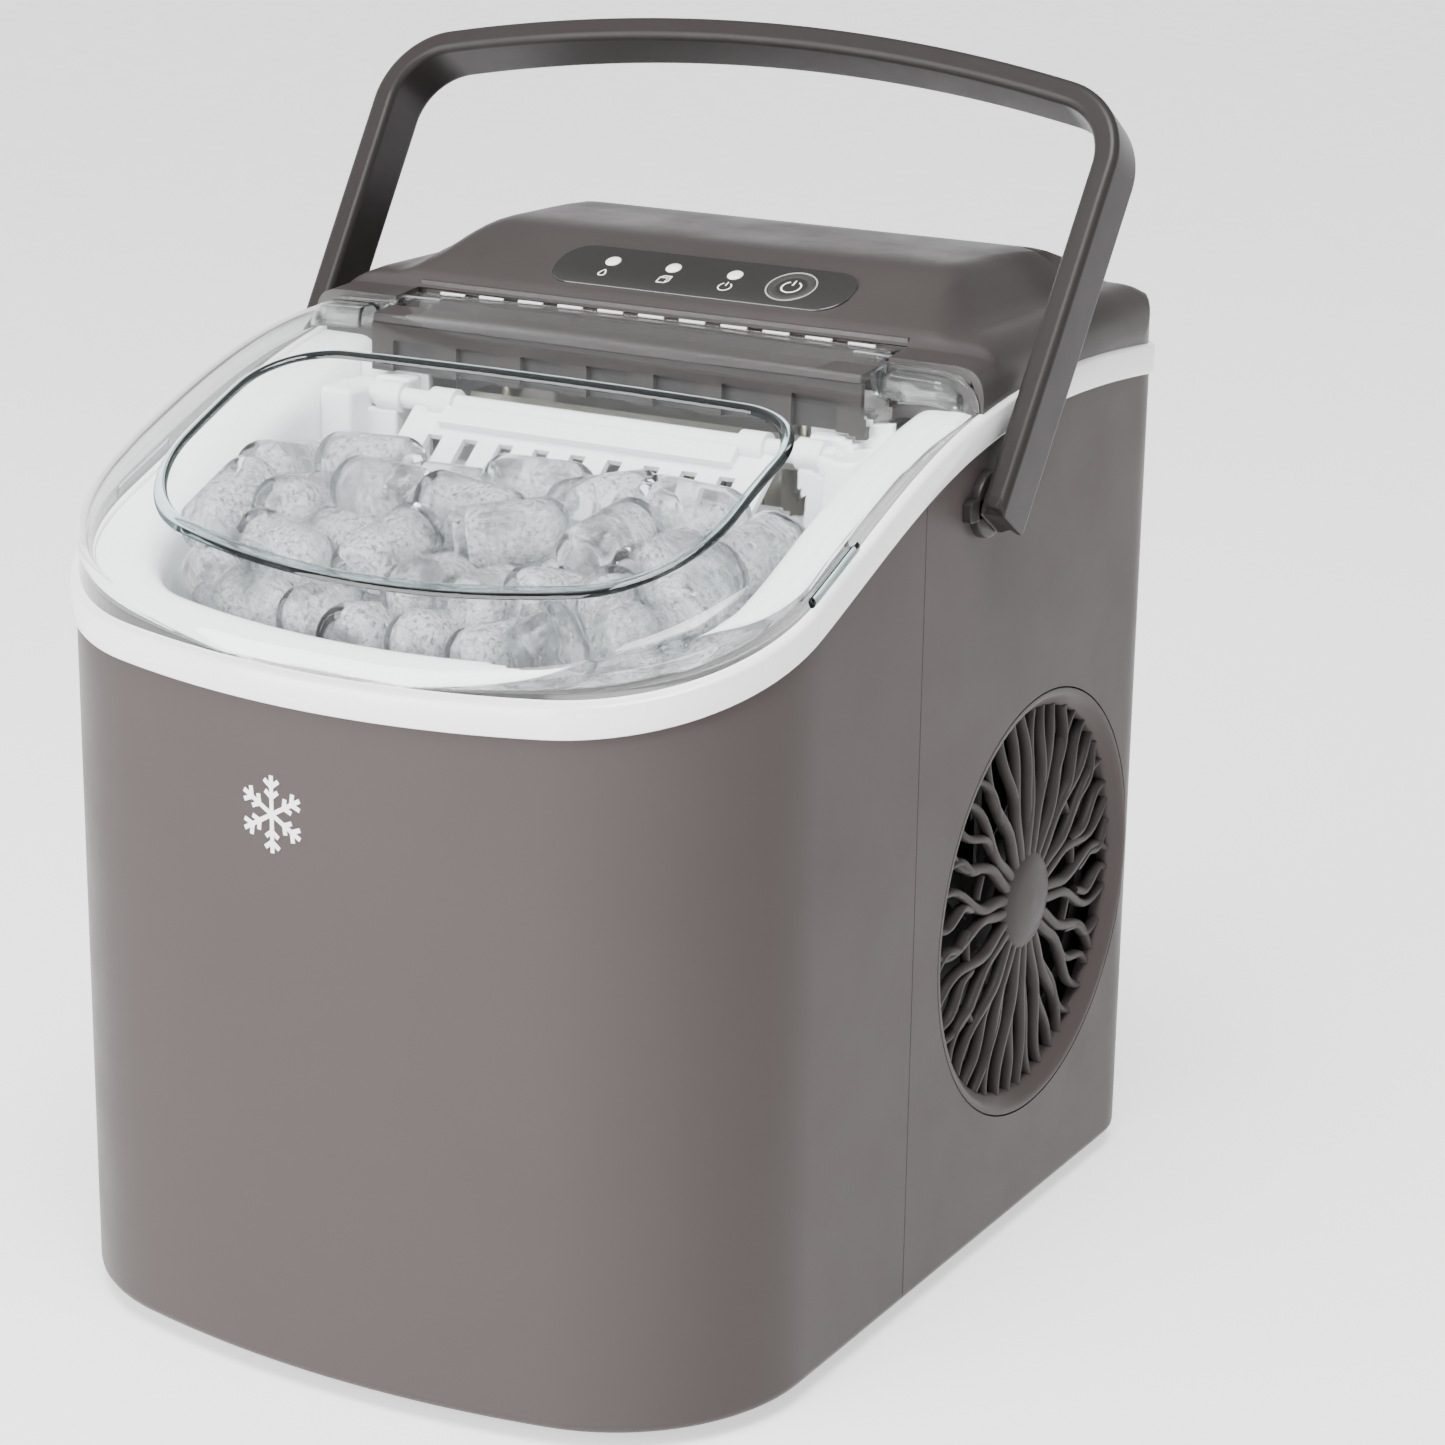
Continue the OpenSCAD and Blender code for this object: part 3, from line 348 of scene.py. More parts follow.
def surface(name, color, rough, vary=0.06, grain=900, grain_strength=0.08, metal=0.0, coat=0.0, spec=0.5,
            stretch=None):
    """A moulded, painted or metal surface: slow colour drift, faint handling marks and a fine grain."""
    m = Nodes(name)
    slow = m.noise(9, 3, 0.6)
    dark = tuple(c * (1 - vary) for c in color)
    light = tuple(min(1, c * (1 + vary) + 0.0008) for c in color)
    m.link(m.mix(m.ramp(slow, 0, 1, 0.25, 0.75), dark, light), m.bsdf.inputs["Base Color"])
    marks = m.noise(38, 5, 0.62, stretch)
    m.link(m.ramp(marks, rough * 0.86, rough * 1.16, 0.35, 0.7), m.bsdf.inputs["Roughness"])
    m.bump(m.noise(grain, 2, 0.5, stretch), grain_strength)
    m.bsdf.inputs["Metallic"].default_value = metal
    m.bsdf.inputs["Coat Weight"].default_value = coat
    m.bsdf.inputs["Coat Roughness"].default_value = 0.12
    m.bsdf.inputs["Specular IOR Level"].default_value = spec
    return m.mat


def clear(name, tint, rough, lamp):
    """Clear plastic with faint scuffs in its gloss; lamp scales what it lets through to a lamp."""
    m = Nodes(name)
    m.bsdf.inputs["Base Color"].default_value = (*tint, 1)
    m.bsdf.inputs["Transmission Weight"].default_value = 1.0
    m.bsdf.inputs["IOR"].default_value = 1.49
    m.link(m.ramp(m.noise(55, 5, 0.65), rough * 0.5, rough * 2, 0.35, 0.75), m.bsdf.inputs["Roughness"])
    m.lamps_through([c * lamp for c in tint])
    return m.mat


def ice_material():
    """The clear skin of a piece, a little wavy."""
    m = Nodes("ice")
    m.bsdf.inputs["Base Color"].default_value = (0.97, 0.985, 1.0, 1)
    m.bsdf.inputs["IOR"].default_value = 1.26
    m.bsdf.inputs["Transmission Weight"].default_value = 1.0
    m.link(m.ramp(m.noise(90, 4, 0.6), 0.02, 0.09, 0.4, 0.7), m.bsdf.inputs["Roughness"])
    m.bump(m.noise(130, 3, 0.5), 0.25, 0.0009)
    m.lamps_through((0.95, 0.96, 0.97))
    return m.mat


def frost_material():
    """The crazed, air-filled core, broken into patches: its bright facets and dark grey specks are partly the
    crazing and partly painted glints and painted dark reflections.
    """
    m = Nodes("ice_frost")
    crazing_and_glints = m.noise(700, 5, 0.75)
    # white and grey specks: partly the crazing itself, partly painted glints and painted dark reflections
    m.link(m.mix(m.ramp(crazing_and_glints, 0, 1, 0.38, 0.52), (0.30, 0.31, 0.33), (1.0, 1.0, 1.0)),
           m.bsdf.inputs["Base Color"])
    m.bsdf.inputs["Metallic"].default_value = 0.6
    m.link(m.ramp(m.noise(300, 3, 0.6), 0.10, 0.30), m.bsdf.inputs["Roughness"])
    m.bump(crazing_and_glints, 1.0, 0.0013)
    m.link(m.ramp(m.noise(60, 3, 0.55), 0.12, 0.88, 0.40, 0.56), m.bsdf.inputs["Alpha"])
    m.lamps_through((0.86, 0.87, 0.88))
    return m.mat


M = {
    "casing": surface("casing_satin", (0.064, 0.0545, 0.0525), 0.36, vary=0.03, grain=1400,
                      grain_strength=0.04, spec=0.06),
    # deck: darker than the casing, partly a darker moulded plastic and partly painted shade standing in for the
    # dark reflection on the deck's top
    "deck": surface("deck_satin_painted_shade", (0.040, 0.0345, 0.0335), 0.38, vary=0.04, grain=1300,
                    grain_strength=0.05, spec=0.42),
    "casing_dark": surface("grille_satin", (0.040, 0.0345, 0.034), 0.46, vary=0.05, grain=1200,
                           spec=0.10),
    "handle": surface("handle_satin", (0.025, 0.0215, 0.0215), 0.34, vary=0.05, grain=1300,
                      grain_strength=0.07, spec=0.14),
    "band_white": surface("band_gloss", (0.86, 0.86, 0.85), 0.16, vary=0.015, grain=500,
                          grain_strength=0.02, coat=0.5),
    "liner_white": surface("liner_white", (0.80, 0.81, 0.82), 0.34, vary=0.02, grain=900,
                           grain_strength=0.04),
    "panel_black": surface("panel_gloss", (0.030, 0.029, 0.028), 0.12, vary=0.1, grain=300,
                           grain_strength=0.01, coat=0.6),
    "led_lens": surface("led_lens", (0.92, 0.92, 0.90), 0.22, vary=0.02, grain=500, grain_strength=0.02,
                        coat=0.4),
    "button_black": surface("button", (0.042, 0.040, 0.039), 0.24, vary=0.08, grain=700,
                            grain_strength=0.03, coat=0.3),
    # recess: near-black, painted shade for the dark inside of a hollow
    "recess": surface("recess", (0.020, 0.018, 0.018), 0.5, vary=0.1, grain=900, spec=0.3),
    "base_black": surface("base_pan", (0.055, 0.052, 0.050), 0.55, vary=0.12, grain=700,
                          grain_strength=0.15),
    "rubber_black": surface("rubber", (0.022, 0.021, 0.021), 0.72, vary=0.15, grain=500,
                            grain_strength=0.2),
    "steel": surface("steel", (0.60, 0.60, 0.61), 0.28, metal=1.0, grain=600, stretch=(1, 1, 14)),
    "copper": surface("copper", (0.66, 0.33, 0.20), 0.32, metal=1.0, vary=0.14, grain=500),
    "nickel": surface("nickel", (0.62, 0.58, 0.50), 0.24, metal=1.0, vary=0.06, grain=500),
    "compressor_black": surface("compressor", (0.020, 0.020, 0.022), 0.38, vary=0.2, grain=420,
                                grain_strength=0.2),
    "aluminium": surface("aluminium", (0.72, 0.73, 0.74), 0.34, metal=1.0, grain=700),
    "board_green": surface("board", (0.03, 0.13, 0.06), 0.45, vary=0.2, grain=260, grain_strength=0.3),
    "hose_clear": surface("hose", (0.72, 0.74, 0.75), 0.30, vary=0.05, grain=300, coat=0.2),
    "fan_black": surface("fan_black", (0.018, 0.018, 0.019), 0.46, vary=0.15, grain=700,
                         grain_strength=0.12),
    "motor_cream": surface("motor_cream", (0.56, 0.53, 0.46), 0.45, vary=0.08, grain=600),
    "lid_clear": clear("lid_clear", (0.94, 0.95, 0.95), 0.02, 1.03),
    "lid_edge": clear("lid_edge", (0.70, 0.80, 0.81), 0.03, 0.8),
    "print_white": surface("print_white", (0.88, 0.88, 0.87), 0.35, vary=0.02, grain=900,
                           grain_strength=0.05),
    "print_grey": surface("print_grey", (0.30, 0.30, 0.30), 0.3, vary=0.03, grain=900,
                          grain_strength=0.05),
    "ice": ice_material(),
    "ice_frost": frost_material(),
}
slot_of = {s["node"]: s["material_slot"] for s in frame["record"]["subparts"]}
for node, ob in frame["nodes"].items():
    ob.data.materials.clear()
    ob.data.materials.append(M[slot_of[node]])


# -------------------------------------------------- casing
def shell_rows(loop, z0):
    """Closed section of the casing wall along a plan given as a function of the inset."""
    r = 3.0
    prof = [(wall, 0, 0)]
    prof += [(r - r * math.sin(a), r - r * math.cos(a), 0) for a in np.radians([0, 22, 45, 68, 90])]
    prof += [(0, 1, t) for t in (0.12, 0.3, 0.5, 0.7, 0.9, 1.0)]
    prof += [(wall, 1, t) for t in (1.0, 0.6, 0.2)]
    rows = []
    for d, h, t in prof:
        row = []
        for x, y in loop(d):
            z = z0 + h if t == 0 else z0 + 3.0 + (rim(y) - z0 - 3.0) * t
            row.append((x, y, z))
        rows.append(row)
    return rows


v, f = loft(shell_rows(lambda d: both(half_front(d, seam_y - 0.3, 22)), foot_h), loop_rows=True, caps=True)
front = make("front_casing", v, f, M["casing"], replaces=["front_shell"], angle=50)
bevel(front, 0.35, 2, 60)

v, f = loft(shell_rows(lambda d: both(half_rear(d, seam_y, 44)), foot_h), loop_rows=True, caps=True)
rear = make("rear_casing", v, f, M["casing"], replaces=["rear_shell"], angle=50)
cuts = [prism(arc(fan_y, fan_z, ring_r + 0.2, 0, 360, 128)[:-1],
              lambda a, b, s: (side_x - 20 + 30 * s, a, b))]
for i in range(9):
    y = fan_y - 34.5 + 8 * i
    cuts.append(prism(rounded(3, 84, 1.49, 4, y, fan_z), lambda a, b, s: (-side_x - 5 + 10 * s, a, b)))
    z = fan_z - 34.5 + 8 * i
    cuts.append(prism(rounded(72, 3, 1.49, 4, 0, z), lambda a, b, s: (a, rear_y - 6 + 10 * s, b)))
for node in ("cord_gland", "drain_fitting"):
    lo, hi = mm(node)
    r = {"cord_gland": 6.0, "drain_fitting": 11.0}[node]
    cuts.append(prism(arc((lo.x + hi.x) / 2, (lo.z + hi.z) / 2, r, 0, 360, 40)[:-1],
                      lambda a, b, s: (a, rear_y - 6 + 10 * s, b)))
v, f = join(cuts)
tool = make("cutter", v, f, M["casing"])
b = rear.modifiers.new("cut", "BOOLEAN")
b.object, b.operation, b.solver = tool, "DIFFERENCE", "EXACT"
settle(rear, 35)
bpy.data.objects.remove(tool)
bevel(rear, 0.35, 2, 50)

band_prof = [(-1.0, 1.0), (-1.0, 8.0), (-0.86, 8.5), (-0.5, 8.86), (0.1, 9.0), (3.1, 9.0), (3.6, 8.86),
             (3.9, 8.5), (4.0, 8.0), (4.0, 0.0), (0.1, 0.0), (-0.5, 0.14), (-0.86, 0.5)]
rows = []
for d, dz in band_prof:
    rows.append([(x, y, float(rim(y)) + dz) for x, y in outline(d if d > 0 else d * band_proud)])
v, f = loft(rows, loop_rows=True, loop_cols=True)
make("band", v, f, M["band_white"], replaces=["trim_band"], angle=60)

# -------------------------------------------------- liner: flange, tub walls, shelf and floor
tub_x = 87.0
floor_z, shelf_top = mm("inner_liner")[0].z + 2.5, rim_z - 58.5
shelf_y, tub_y = deck_y + 32 - 2.5, front_y + 129 - 2.5


def u_loop(d, y0, n=40):
    """The plan's front as a U that is open at y0."""
    return both(half_front(d, y0, n))


rows = []
for d, dz in ((4.2, 5.8), (4.2, 7.6), (4.6, 8.0), (7, 8.0), (12, 7.95), (17, 7.9), (19, 7.6), (21, 6.6),
              (22.6, 4.8), (23.6, 2.4), (24.0, -0.6)):
    rows.append([(x, y, float(rim(y)) + dz) for x, y in u_loop(d, shelf_y)])
for t in (0.35, 0.7, 1.0):
    rows.append([(x, y, (float(rim(y)) - 0.6) * (1 - t) + shelf_top * t) for x, y in u_loop(24, shelf_y)])
v1, f1 = loft(rows)
tub_prof = ((24, shelf_top), (24, shelf_top - 40), (24, floor_z + 8), (24.8, floor_z + 4),
            (27, floor_z + 1.2), (32, floor_z))
rows = [[(x, y, z) for x, y in u_loop(d, tub_y)] for d, z in tub_prof]
v2, f2 = loft(rows)
last = rows[-1]
n = len(last)
v3 = last + [(0, y, floor_z) for x, y, z in last]
f3 = [(i, i + 1, n + i + 1, n + i) for i in range(n - 1)]
parts = [(v1, f1), (v2, f2), (v3, f3)]
for (ya, za), (yb, zb) in (((shelf_y, shelf_top), (tub_y, shelf_top)), ((tub_y, shelf_top), (tub_y, floor_z)),
                           ((shelf_y, rim_z + 4), (shelf_y, shelf_top))):
    parts.append(([(-tub_x, ya, za), (tub_x, ya, za), (tub_x, yb, zb), (-tub_x, yb, zb)], [(0, 1, 2, 3)]))
v, f = join(parts)
make("liner", v, f, M["liner_white"], replaces=["inner_liner"], angle=40, merge=0.05,
     up=(0, 0, 1))

# -------------------------------------------------- deck
crest_z = rim_z + 34.5
slope_y, slope_z = deck_y + 3, lid_rear_z + 3.1
tilt = math.atan(0.4)
prof = [[ear_y, lid_rear_z - 0.107 * 11.3], [deck_y + 1, lid_rear_z]]
prof += [[slope_y - 0.6, slope_z - 1.4], [slope_y + 0.6, slope_z + 0.1], [slope_y + 3, slope_z + 1.2]]
prof += list(bez([[slope_y + 27, slope_z + 10.8], [slope_y + 37, slope_z + 14.8], [slope_y + 45, crest_z],
                  [slope_y + 62, crest_z]], np.linspace(0, 1, 24)))
prof += list(bez([[rear_y - 36, crest_z - 0.5], [rear_y - 7, crest_z - 2], [rear_y - 2, rim_z + 20],
                  [rear_y, rim_z + 3]], np.linspace(0, 1, 48)))
prof = np.array(prof)


def smin(a, b, k):
    """The smaller of a and b, blended over k."""
    h = max(0.0, 1 - abs(a - b) / k)
    return min(a, b) - k * h * h / 4


def step(a, b, x):
    """Rises smoothly from 0 at a to 1 at b."""
    t = min(1.0, max(0.0, (x - a) / (b - a)))
    return t * t * (3 - 2 * t)


def deck_z(x, y):
    """Height of the deck's top, with its raised middle and rounded sides."""
    zs = float(np.interp(y, prof[:, 0], prof[:, 1]))
    x = abs(x)
    edge, r = side_x - 0.5, 14
    zf = rim_z + 22.4 + 16 * (1 - step(72, 93, x)) - 0.4 * step(88, edge - r, x)
    if x > edge - r:
        zf = rim_z + 8 + math.sqrt(max(0.0, r ** 2 - (x - edge + r) ** 2))
    return smin(zs, zf, 5.0)


front_edge = deck_y + 1


def deck_half(d):
    """As half_rear, with a point where the deck's front lip crosses."""
    h = half_rear(d, front_edge, 50)
    return line((h[0][0], ear_y + 0.7), h[0], 6)[:-1] + h


ends = [0.5, 0.62, 0.9, 1.4, 2.1, 3.0, 4.2, 5.8, 7.6, 9.6, 11.8, 14.0, 16.5, 18.9, 22, 25.6, 29.6]
rows = [[(x, y, float(rim(y)) + 6) for x, y in both(deck_half(ends[0]))]]
for d in ends:
    rows.append([(x, y, max(deck_z(x, y), float(rim(y)) + 6.2)) for x, y in both(deck_half(d))])
v1, f1 = loft(rows)
inner = rows[-1]
side_n = 6 + 50 + 6  # the lip, the side and half of the rear corner
grid = coons(inner[:side_n + 1], inner[side_n:len(inner) - side_n], deck_z)
v2, f2 = loft(grid)
f2 = [q for q in f2 if sum(v2[i][1] for i in q) / 4 > front_edge]
v, f = join([(v1, f1), (v2, f2)])
deck = make("deck", v, f, M["deck"], replaces=["top_deck"], angle=50, merge=0.02,
            up=(0, 0, 1))
solid(deck, 2.5)
bevel(deck, 0.5, 2, 60)


def plate_part(name, lo, hi, mat, w):
    """A box fixed to the body, with edges rounded by w."""
    v, f = box_mesh(lo, hi)
    bevel(make(name, v, f, mat), w, 3, 40)


# ledge under the lid's tongue, the wall behind it and the walls beside the ears
ledge_top = ledge_lid_z - 2.9
low = lid_rear_z - 10.4  # clear of the tongue's rear edge when the lid swings open
poly = [(ledge_y, ledge_top - 2.5), (ledge_y, ledge_top - 0.4), (ledge_y + 0.4, ledge_top),
        (ledge_y + 9.6, ledge_top + 0.95), (ledge_y + 10.4, ledge_top + 0.4), (ledge_y + 11, low)]
poly += [(deck_y + dy, low + dz) for dy, dz in (
    (-3.6, 0), (-1.2, 3), (0.3, 5.7), (3, 5.9), (3, 4.9), (0.8, 4.9), (-0.8, 2.2), (-3.2, -0.8))]
poly += [(ledge_y + 9.6, low - 0.8), (ledge_y + 8.8, ledge_top - 1.6)]
v, f = prism(poly, lambda a, b, s: ((s - 0.5) * 2 * (tongue_x - 0.3), a, b))
bevel(make("deck_ledge", v, f, M["deck"]), 0.4, 2, 40)
plate_part("deck_back_wall", (-81, deck_y + 1.6, ledge_top - 1), (81, deck_y + 3.4, slope_z - 1),
           M["deck"], 0.3)
for s, side in ((-1, "left"), (1, "right")):
    a, b = sorted((s * 81.2, s * (side_x - 4.5)))
    plate_part(f"deck_ear_wall_{side}", (a, ear_y + 0.8, rim_z + 1), (b, ear_y + 2.6, lid_rear_z - 2.2),
               M["deck"], 0.3)
    a, b = sorted((s * 81.0, s * 84.6))
    plate_part(f"deck_cheek_{side}", (a, ear_y + 0.9, rim_z + 4), (b, deck_y + 3, lid_rear_z - 2.0),
               M["deck"], 0.5)


# -------------------------------------------------- control panel, on the deck's slope
overlay_lo, overlay_hi = mm("control_overlay")
button_lo, button_hi = mm("power_button")
panel_x = (overlay_lo.x + overlay_hi.x) / 2
button_x = (button_lo.x + button_hi.x) / 2
panel_y, panel_z = slope_y + 14.5, slope_z + 5.8
ct, st = math.cos(tilt), math.sin(tilt)


def on_panel(x, u, n):
    """A point at x across, u up the slope and n out of it."""
    return (x, panel_y + u * ct - n * st, panel_z + u * st + n * ct)


v, f = prism(rounded(overlay_hi.x - overlay_lo.x, 21, 9, 12, panel_x, 0),
             lambda a, b, s: on_panel(a, b, -0.4 + 0.95 * s))
panel = make("control_panel", v, f, M["panel_black"], replaces=["control_overlay"])
bevel(panel, 0.3, 3, 40)
ring = [(7.2, 0.3), (7.2, 0.68), (7.3, 0.74), (7.6, 0.74), (7.7, 0.68), (7.7, 0.3)]
v, f = revolve(ring, lambda a, b, h: on_panel(button_x + a, b, h), 72)
make("button_ring", v, f, M["print_grey"], angle=40)
dome = [(0.01, -0.3), (6.95, -0.3), (6.95, 0.5), (6.6, 0.72), (5.6, 0.62), (3.0, 0.42), (0.01, 0.36)]
v, f = revolve(dome, lambda a, b, h: on_panel(button_x + a, b, h), 72)
make("button_cap", v, f, M["button_black"], body="power_button",
     replaces=["power_button"], angle=50)
for node in ("led_add_water", "led_ice_full", "led_power"):
    lo, hi = mm(node)
    x = (lo.x + hi.x) / 2
    lens = [(0.01, -0.2), (2.4, -0.2), (2.4, 0.62), (2.15, 0.85), (1.4, 1.02), (0.01, 1.1)]
    v, f = revolve(lens, lambda a, b, h: on_panel(x + a, 2.6 + b, h), 40)
    make(node + "_lens", v, f, M["led_lens"], replaces=[node], angle=50)


def strokes(name, lines, place, width, thick, mat, body="body"):
    """Flat printed strokes: each line is a list of (a, b) points, laid by place(a, b, n)."""
    parts = []
    for pts in lines:
        v, f = [], []
        n = len(pts)
        for i, (a, b) in enumerate(pts):
            p, q = pts[max(i - 1, 0)], pts[min(i + 1, n - 1)]
            dx, dy = q[0] - p[0], q[1] - p[1]
            l = math.hypot(dx, dy) or 1
            ox, oy = -dy / l * width / 2, dx / l * width / 2
            for s, h in ((1, 0), (1, thick), (-1, thick), (-1, 0)):
                v.append(place(a + ox * s, b + oy * s, h))
        for i in range(n - 1):
            for k in range(4):
                m = (k + 1) % 4
                f.append((4 * i + k, 4 * i + m, 4 * i + 4 + m, 4 * i + 4 + k))
        f += [(0, 1, 2, 3), (4 * n - 1, 4 * n - 2, 4 * n - 3, 4 * n - 4)]
        parts.append((v, f))
    v, f = join(parts)
    make(name, v, f, mat, body=body, angle=40)


led_u = -3.6
drop = []
for t in np.linspace(0, 2 * math.pi, 25):
    tall = 1.0 if math.cos(t) > 0 else 0.62
    wide = (1 - 0.55 * (1 + math.cos(t)) / 2) * 1.15
    drop.append((1.25 * math.sin(t) * wide, -0.6 + 1.9 * math.cos(t) * tall))
cube = [[(-1.5, -1.9), (1.1, -1.9), (1.1, 0.7), (-1.5, 0.7), (-1.5, -1.9)],
        [(-1.5, 0.7), (-0.5, 1.7), (2.0, 1.7), (1.1, 0.7)],
        [(2.0, 1.7), (2.0, -0.9), (1.1, -1.9)]]


def power_mark(r, low, gap, n, bar):
    """A ring of radius r, open at the top, and the bar that stands in its gap."""
    turns = np.linspace(gap, 2 * math.pi - gap, n)
    return [[(r * math.sin(t), r * math.cos(t) - low) for t in turns], [(0, z) for z in bar]]


icons = {"icon_water": (-25.3, [drop]), "icon_ice": (-4.8, cube),
         "icon_power": (15.7, power_mark(2.0, 0.3, 0.55, 22, (0.2, 2.3)))}
for name, (x, lines) in icons.items():
    strokes(name, lines, lambda a, b, n: on_panel(x + a, led_u + b, 0.54 + n), 0.42, 0.05, M["print_white"])
strokes("icon_button", power_mark(2.9, 0.2, 0.5, 26, (0.6, 3.3)),
        lambda a, b, n: on_panel(button_x + a, b, 0.52 + n), 0.5, 0.06, M["print_white"], body="power_button")

# -------------------------------------------------- lid
nose = bez([[front_y + 19, rim_z - 28.5], [front_y + 9, rim_z - 33.5], [front_y + 2, rim_z - 42],
            [front_y - 1, rim_z - 54]], np.linspace(0, 1, 60))
slope = bez([[ledge_y, ledge_lid_z], [ledge_y - 35, ledge_lid_z - 2.2], [front_y + 75, rim_z + 1],
             [front_y + 19, rim_z - 28.5]], np.linspace(0, 1, 160))
lid_prof = np.array([[deck_y, lid_rear_z]] + list(slope) + list(nose)[1:])[::-1]


def lid_z(x, y, d):
    """Height of the lid's top at (x, y), d inside its edge: a crowned roof with a rounded border."""
    z = float(np.interp(y, lid_prof[:, 0], lid_prof[:, 1]))
    r = 11.0 * min(1.0, max(0.12, (y - front_y - 3) / 55))
    k = min(1.0, max(0.0, d / r))
    drop = r * (1 - math.sqrt(max(0.0, 1 - (1 - k) ** 2)))
    return z - drop * 0.9 - 1.8 * (x / side_x) ** 2


lid_d = [0, 0.15, 0.5, 1.1, 2.0, 3.1, 4.5, 6.2, 8.2, 10.4, 13, 16.5, 20.5, 25, 29.5, 34, 39, 44, 49, 53.5]
rows = []
for i, d in enumerate([0] + lid_d):
    row = []
    for x, y in u_loop(1 + d, ear_y, 56):
        z0 = float(rim(y)) + 9.5
        row.append((x, y, z0 if i == 0 else max(lid_z(x, y, d), z0 + 0.3)))
    rows.append(row)
v1, f1 = loft(rows)
inner = rows[-1]
side_n = 56 + 11  # the side and half of the front corner
grid = coons(inner[:side_n + 1], inner[side_n:len(inner) - side_n], lambda x, y: lid_z(x, y, 60))
v2, f2 = loft(grid)
edge = [(p[0], p[1], p[2]) for p in (r[0] for r in rows[1:]) if p[0] <= tongue_x + 0.01]
xs = [p[0] for p in edge] + [p[0] for p in grid[0]][1:-1] + [-p[0] for p in reversed(edge)]
zs = [p[2] for p in edge] + [p[2] for p in grid[0]][1:-1] + [p[2] for p in reversed(edge)]
z_end = float(np.interp(ear_y, lid_prof[:, 0], lid_prof[:, 1]))
tongue = []
for t in np.linspace(0, 1, 6):
    y = ear_y + (deck_y - ear_y) * t
    rise = float(np.interp(y, lid_prof[:, 0], lid_prof[:, 1])) - z_end
    tongue.append([(x, y, z + rise) for x, z in zip(xs, zs)])
v3, f3 = loft(tongue)
v, f = join([(v1, f1), (v2, f2), (v3, f3)])
lid = make("lid_shell", v, f, M["lid_clear"], body="lid", replaces=["lid"], angle=60,
           merge=0.02, up=(0, 0, 1))
solid(lid, 2.3)

# the raised window's edge: a bead of thicker plastic that follows a rounded rectangle over the roof
win_x, win_y0, win_y1 = 86.0, front_y + 24, ledge_y - 35
front_run_y = win_y0 + 38 - 34 * math.sin(math.radians(76))
path = arc(win_x - 22, win_y1 - 22, 22, 0, 90, 16) + arc(-win_x + 22, win_y1 - 22, 22, 90, 180, 16)
path += arc(-win_x + 34, win_y0 + 38, 34, 180, 256, 18)
path += [(x, front_run_y - 8.0 * (1 - (x / 60.2) ** 2)) for x in np.linspace(-59, 59, 26)]
path += arc(win_x - 34, win_y0 + 38, 34, 284, 360, 18)
dense = []
for i, (x, y) in enumerate(path):
    q = path[(i + 1) % len(path)]
    n = max(1, int(math.hypot(q[0] - x, q[1] - y) / 3.5))
    dense += [(x + (q[0] - x) * k / n, y + (q[1] - y) * k / n) for k in range(n)]
bead = [(-1.7, -0.3), (-1.55, 0.55), (-1.0, 1.15), (-0.2, 1.4), (0.7, 1.3), (1.4, 0.9), (1.9, 0.3),
        (2.0, -0.3)]
rows = [[] for _ in bead]
n = len(dense)
for i, (x, y) in enumerate(dense):
    p, q = dense[i - 1], dense[(i + 1) % n]
    dx, dy = q[0] - p[0], q[1] - p[1]
    l = math.hypot(dx, dy)
    nx, ny = dy / l, -dx / l
    for r, (o, h) in zip(rows, bead):
        a, b = x + nx * o, y + ny * o
        r.append((a, b, lid_z(a, b, 60) + h))
v, f = loft(rows, loop_rows=True, loop_cols=True)
make("lid_window_edge", v, f, M["lid_edge"], body="lid", angle=70)

# rolled ears over the hinge, ribs beside the tongue, white bars at its rear edge that are painted highlights, and
# the two side tabs
for s, side in ((-1, "left"), (1, "right")):
    roll, n = [], 16
    for i in range(n + 1):
        x = 86 + 20.0 * i / n
        k = 1 - max(0.0, (x - 99) / 7.4) ** 2.4
        r = 5.4 * math.sqrt(max(0.02, k))
        cz = lid_z(x, ear_y - 6, side_x - 1 - x) - 5.9
        row = []
        for a in np.radians(np.linspace(-35, 200, 20)):
            row.append((s * x, ear_y - 6 + r * math.cos(a), cz + r * math.sin(a)))
        roll.append(row)
    v, f = loft(roll)
    ob = make(f"lid_ear_{side}", v, f, M["lid_clear"], body="lid", angle=60)
    solid(ob, 1.2)
    v, f = prism([(ear_y - 9, -1.2), (ear_y - 1.2, -0.9), (ear_y - 2.2, -6.5), (ear_y - 6, -7.5)],
                 lambda a, b, t: (s * (80.6 + 1.6 * t), a, lid_z(80, a, 30) - 1.4 + b))
    bevel(make(f"lid_rib_{side}", v, f, M["lid_edge"], body="lid"), 0.3, 2)
    ys = np.linspace(front_y + 60, front_y + 83, 12)
    rows = []
    for a in np.radians(np.linspace(0, 360, 13)[:-1]):
        x = s * (side_x + 0.1 + 1.1 * math.cos(a))
        rows.append([(x, y, float(rim(y)) + 12.2 + 1.5 * math.sin(a)) for y in ys])
    v, f = loft(rows, loop_rows=True, caps=True)
    make(f"lid_tab_{side}", v, f, M["lid_edge"], body="lid", angle=60)
# eleven white bars along the tongue's rear edge: painted highlights where that edge catches the light
parts = []
for i in range(11):
    x = -68 + 13.6 * i
    z = lid_z(x, deck_y - 1, 60)
    highlight_dash = rounded(8.5, 0.9, 0.4, 3, x, deck_y - 0.8)
    parts.append(prism(highlight_dash, lambda a, b, t: (a, b, z - 0.2 + 0.55 * t)))
v, f = join(parts)
make("lid_painted_highlight_dashes", v, f, M["print_white"], body="lid", angle=40)

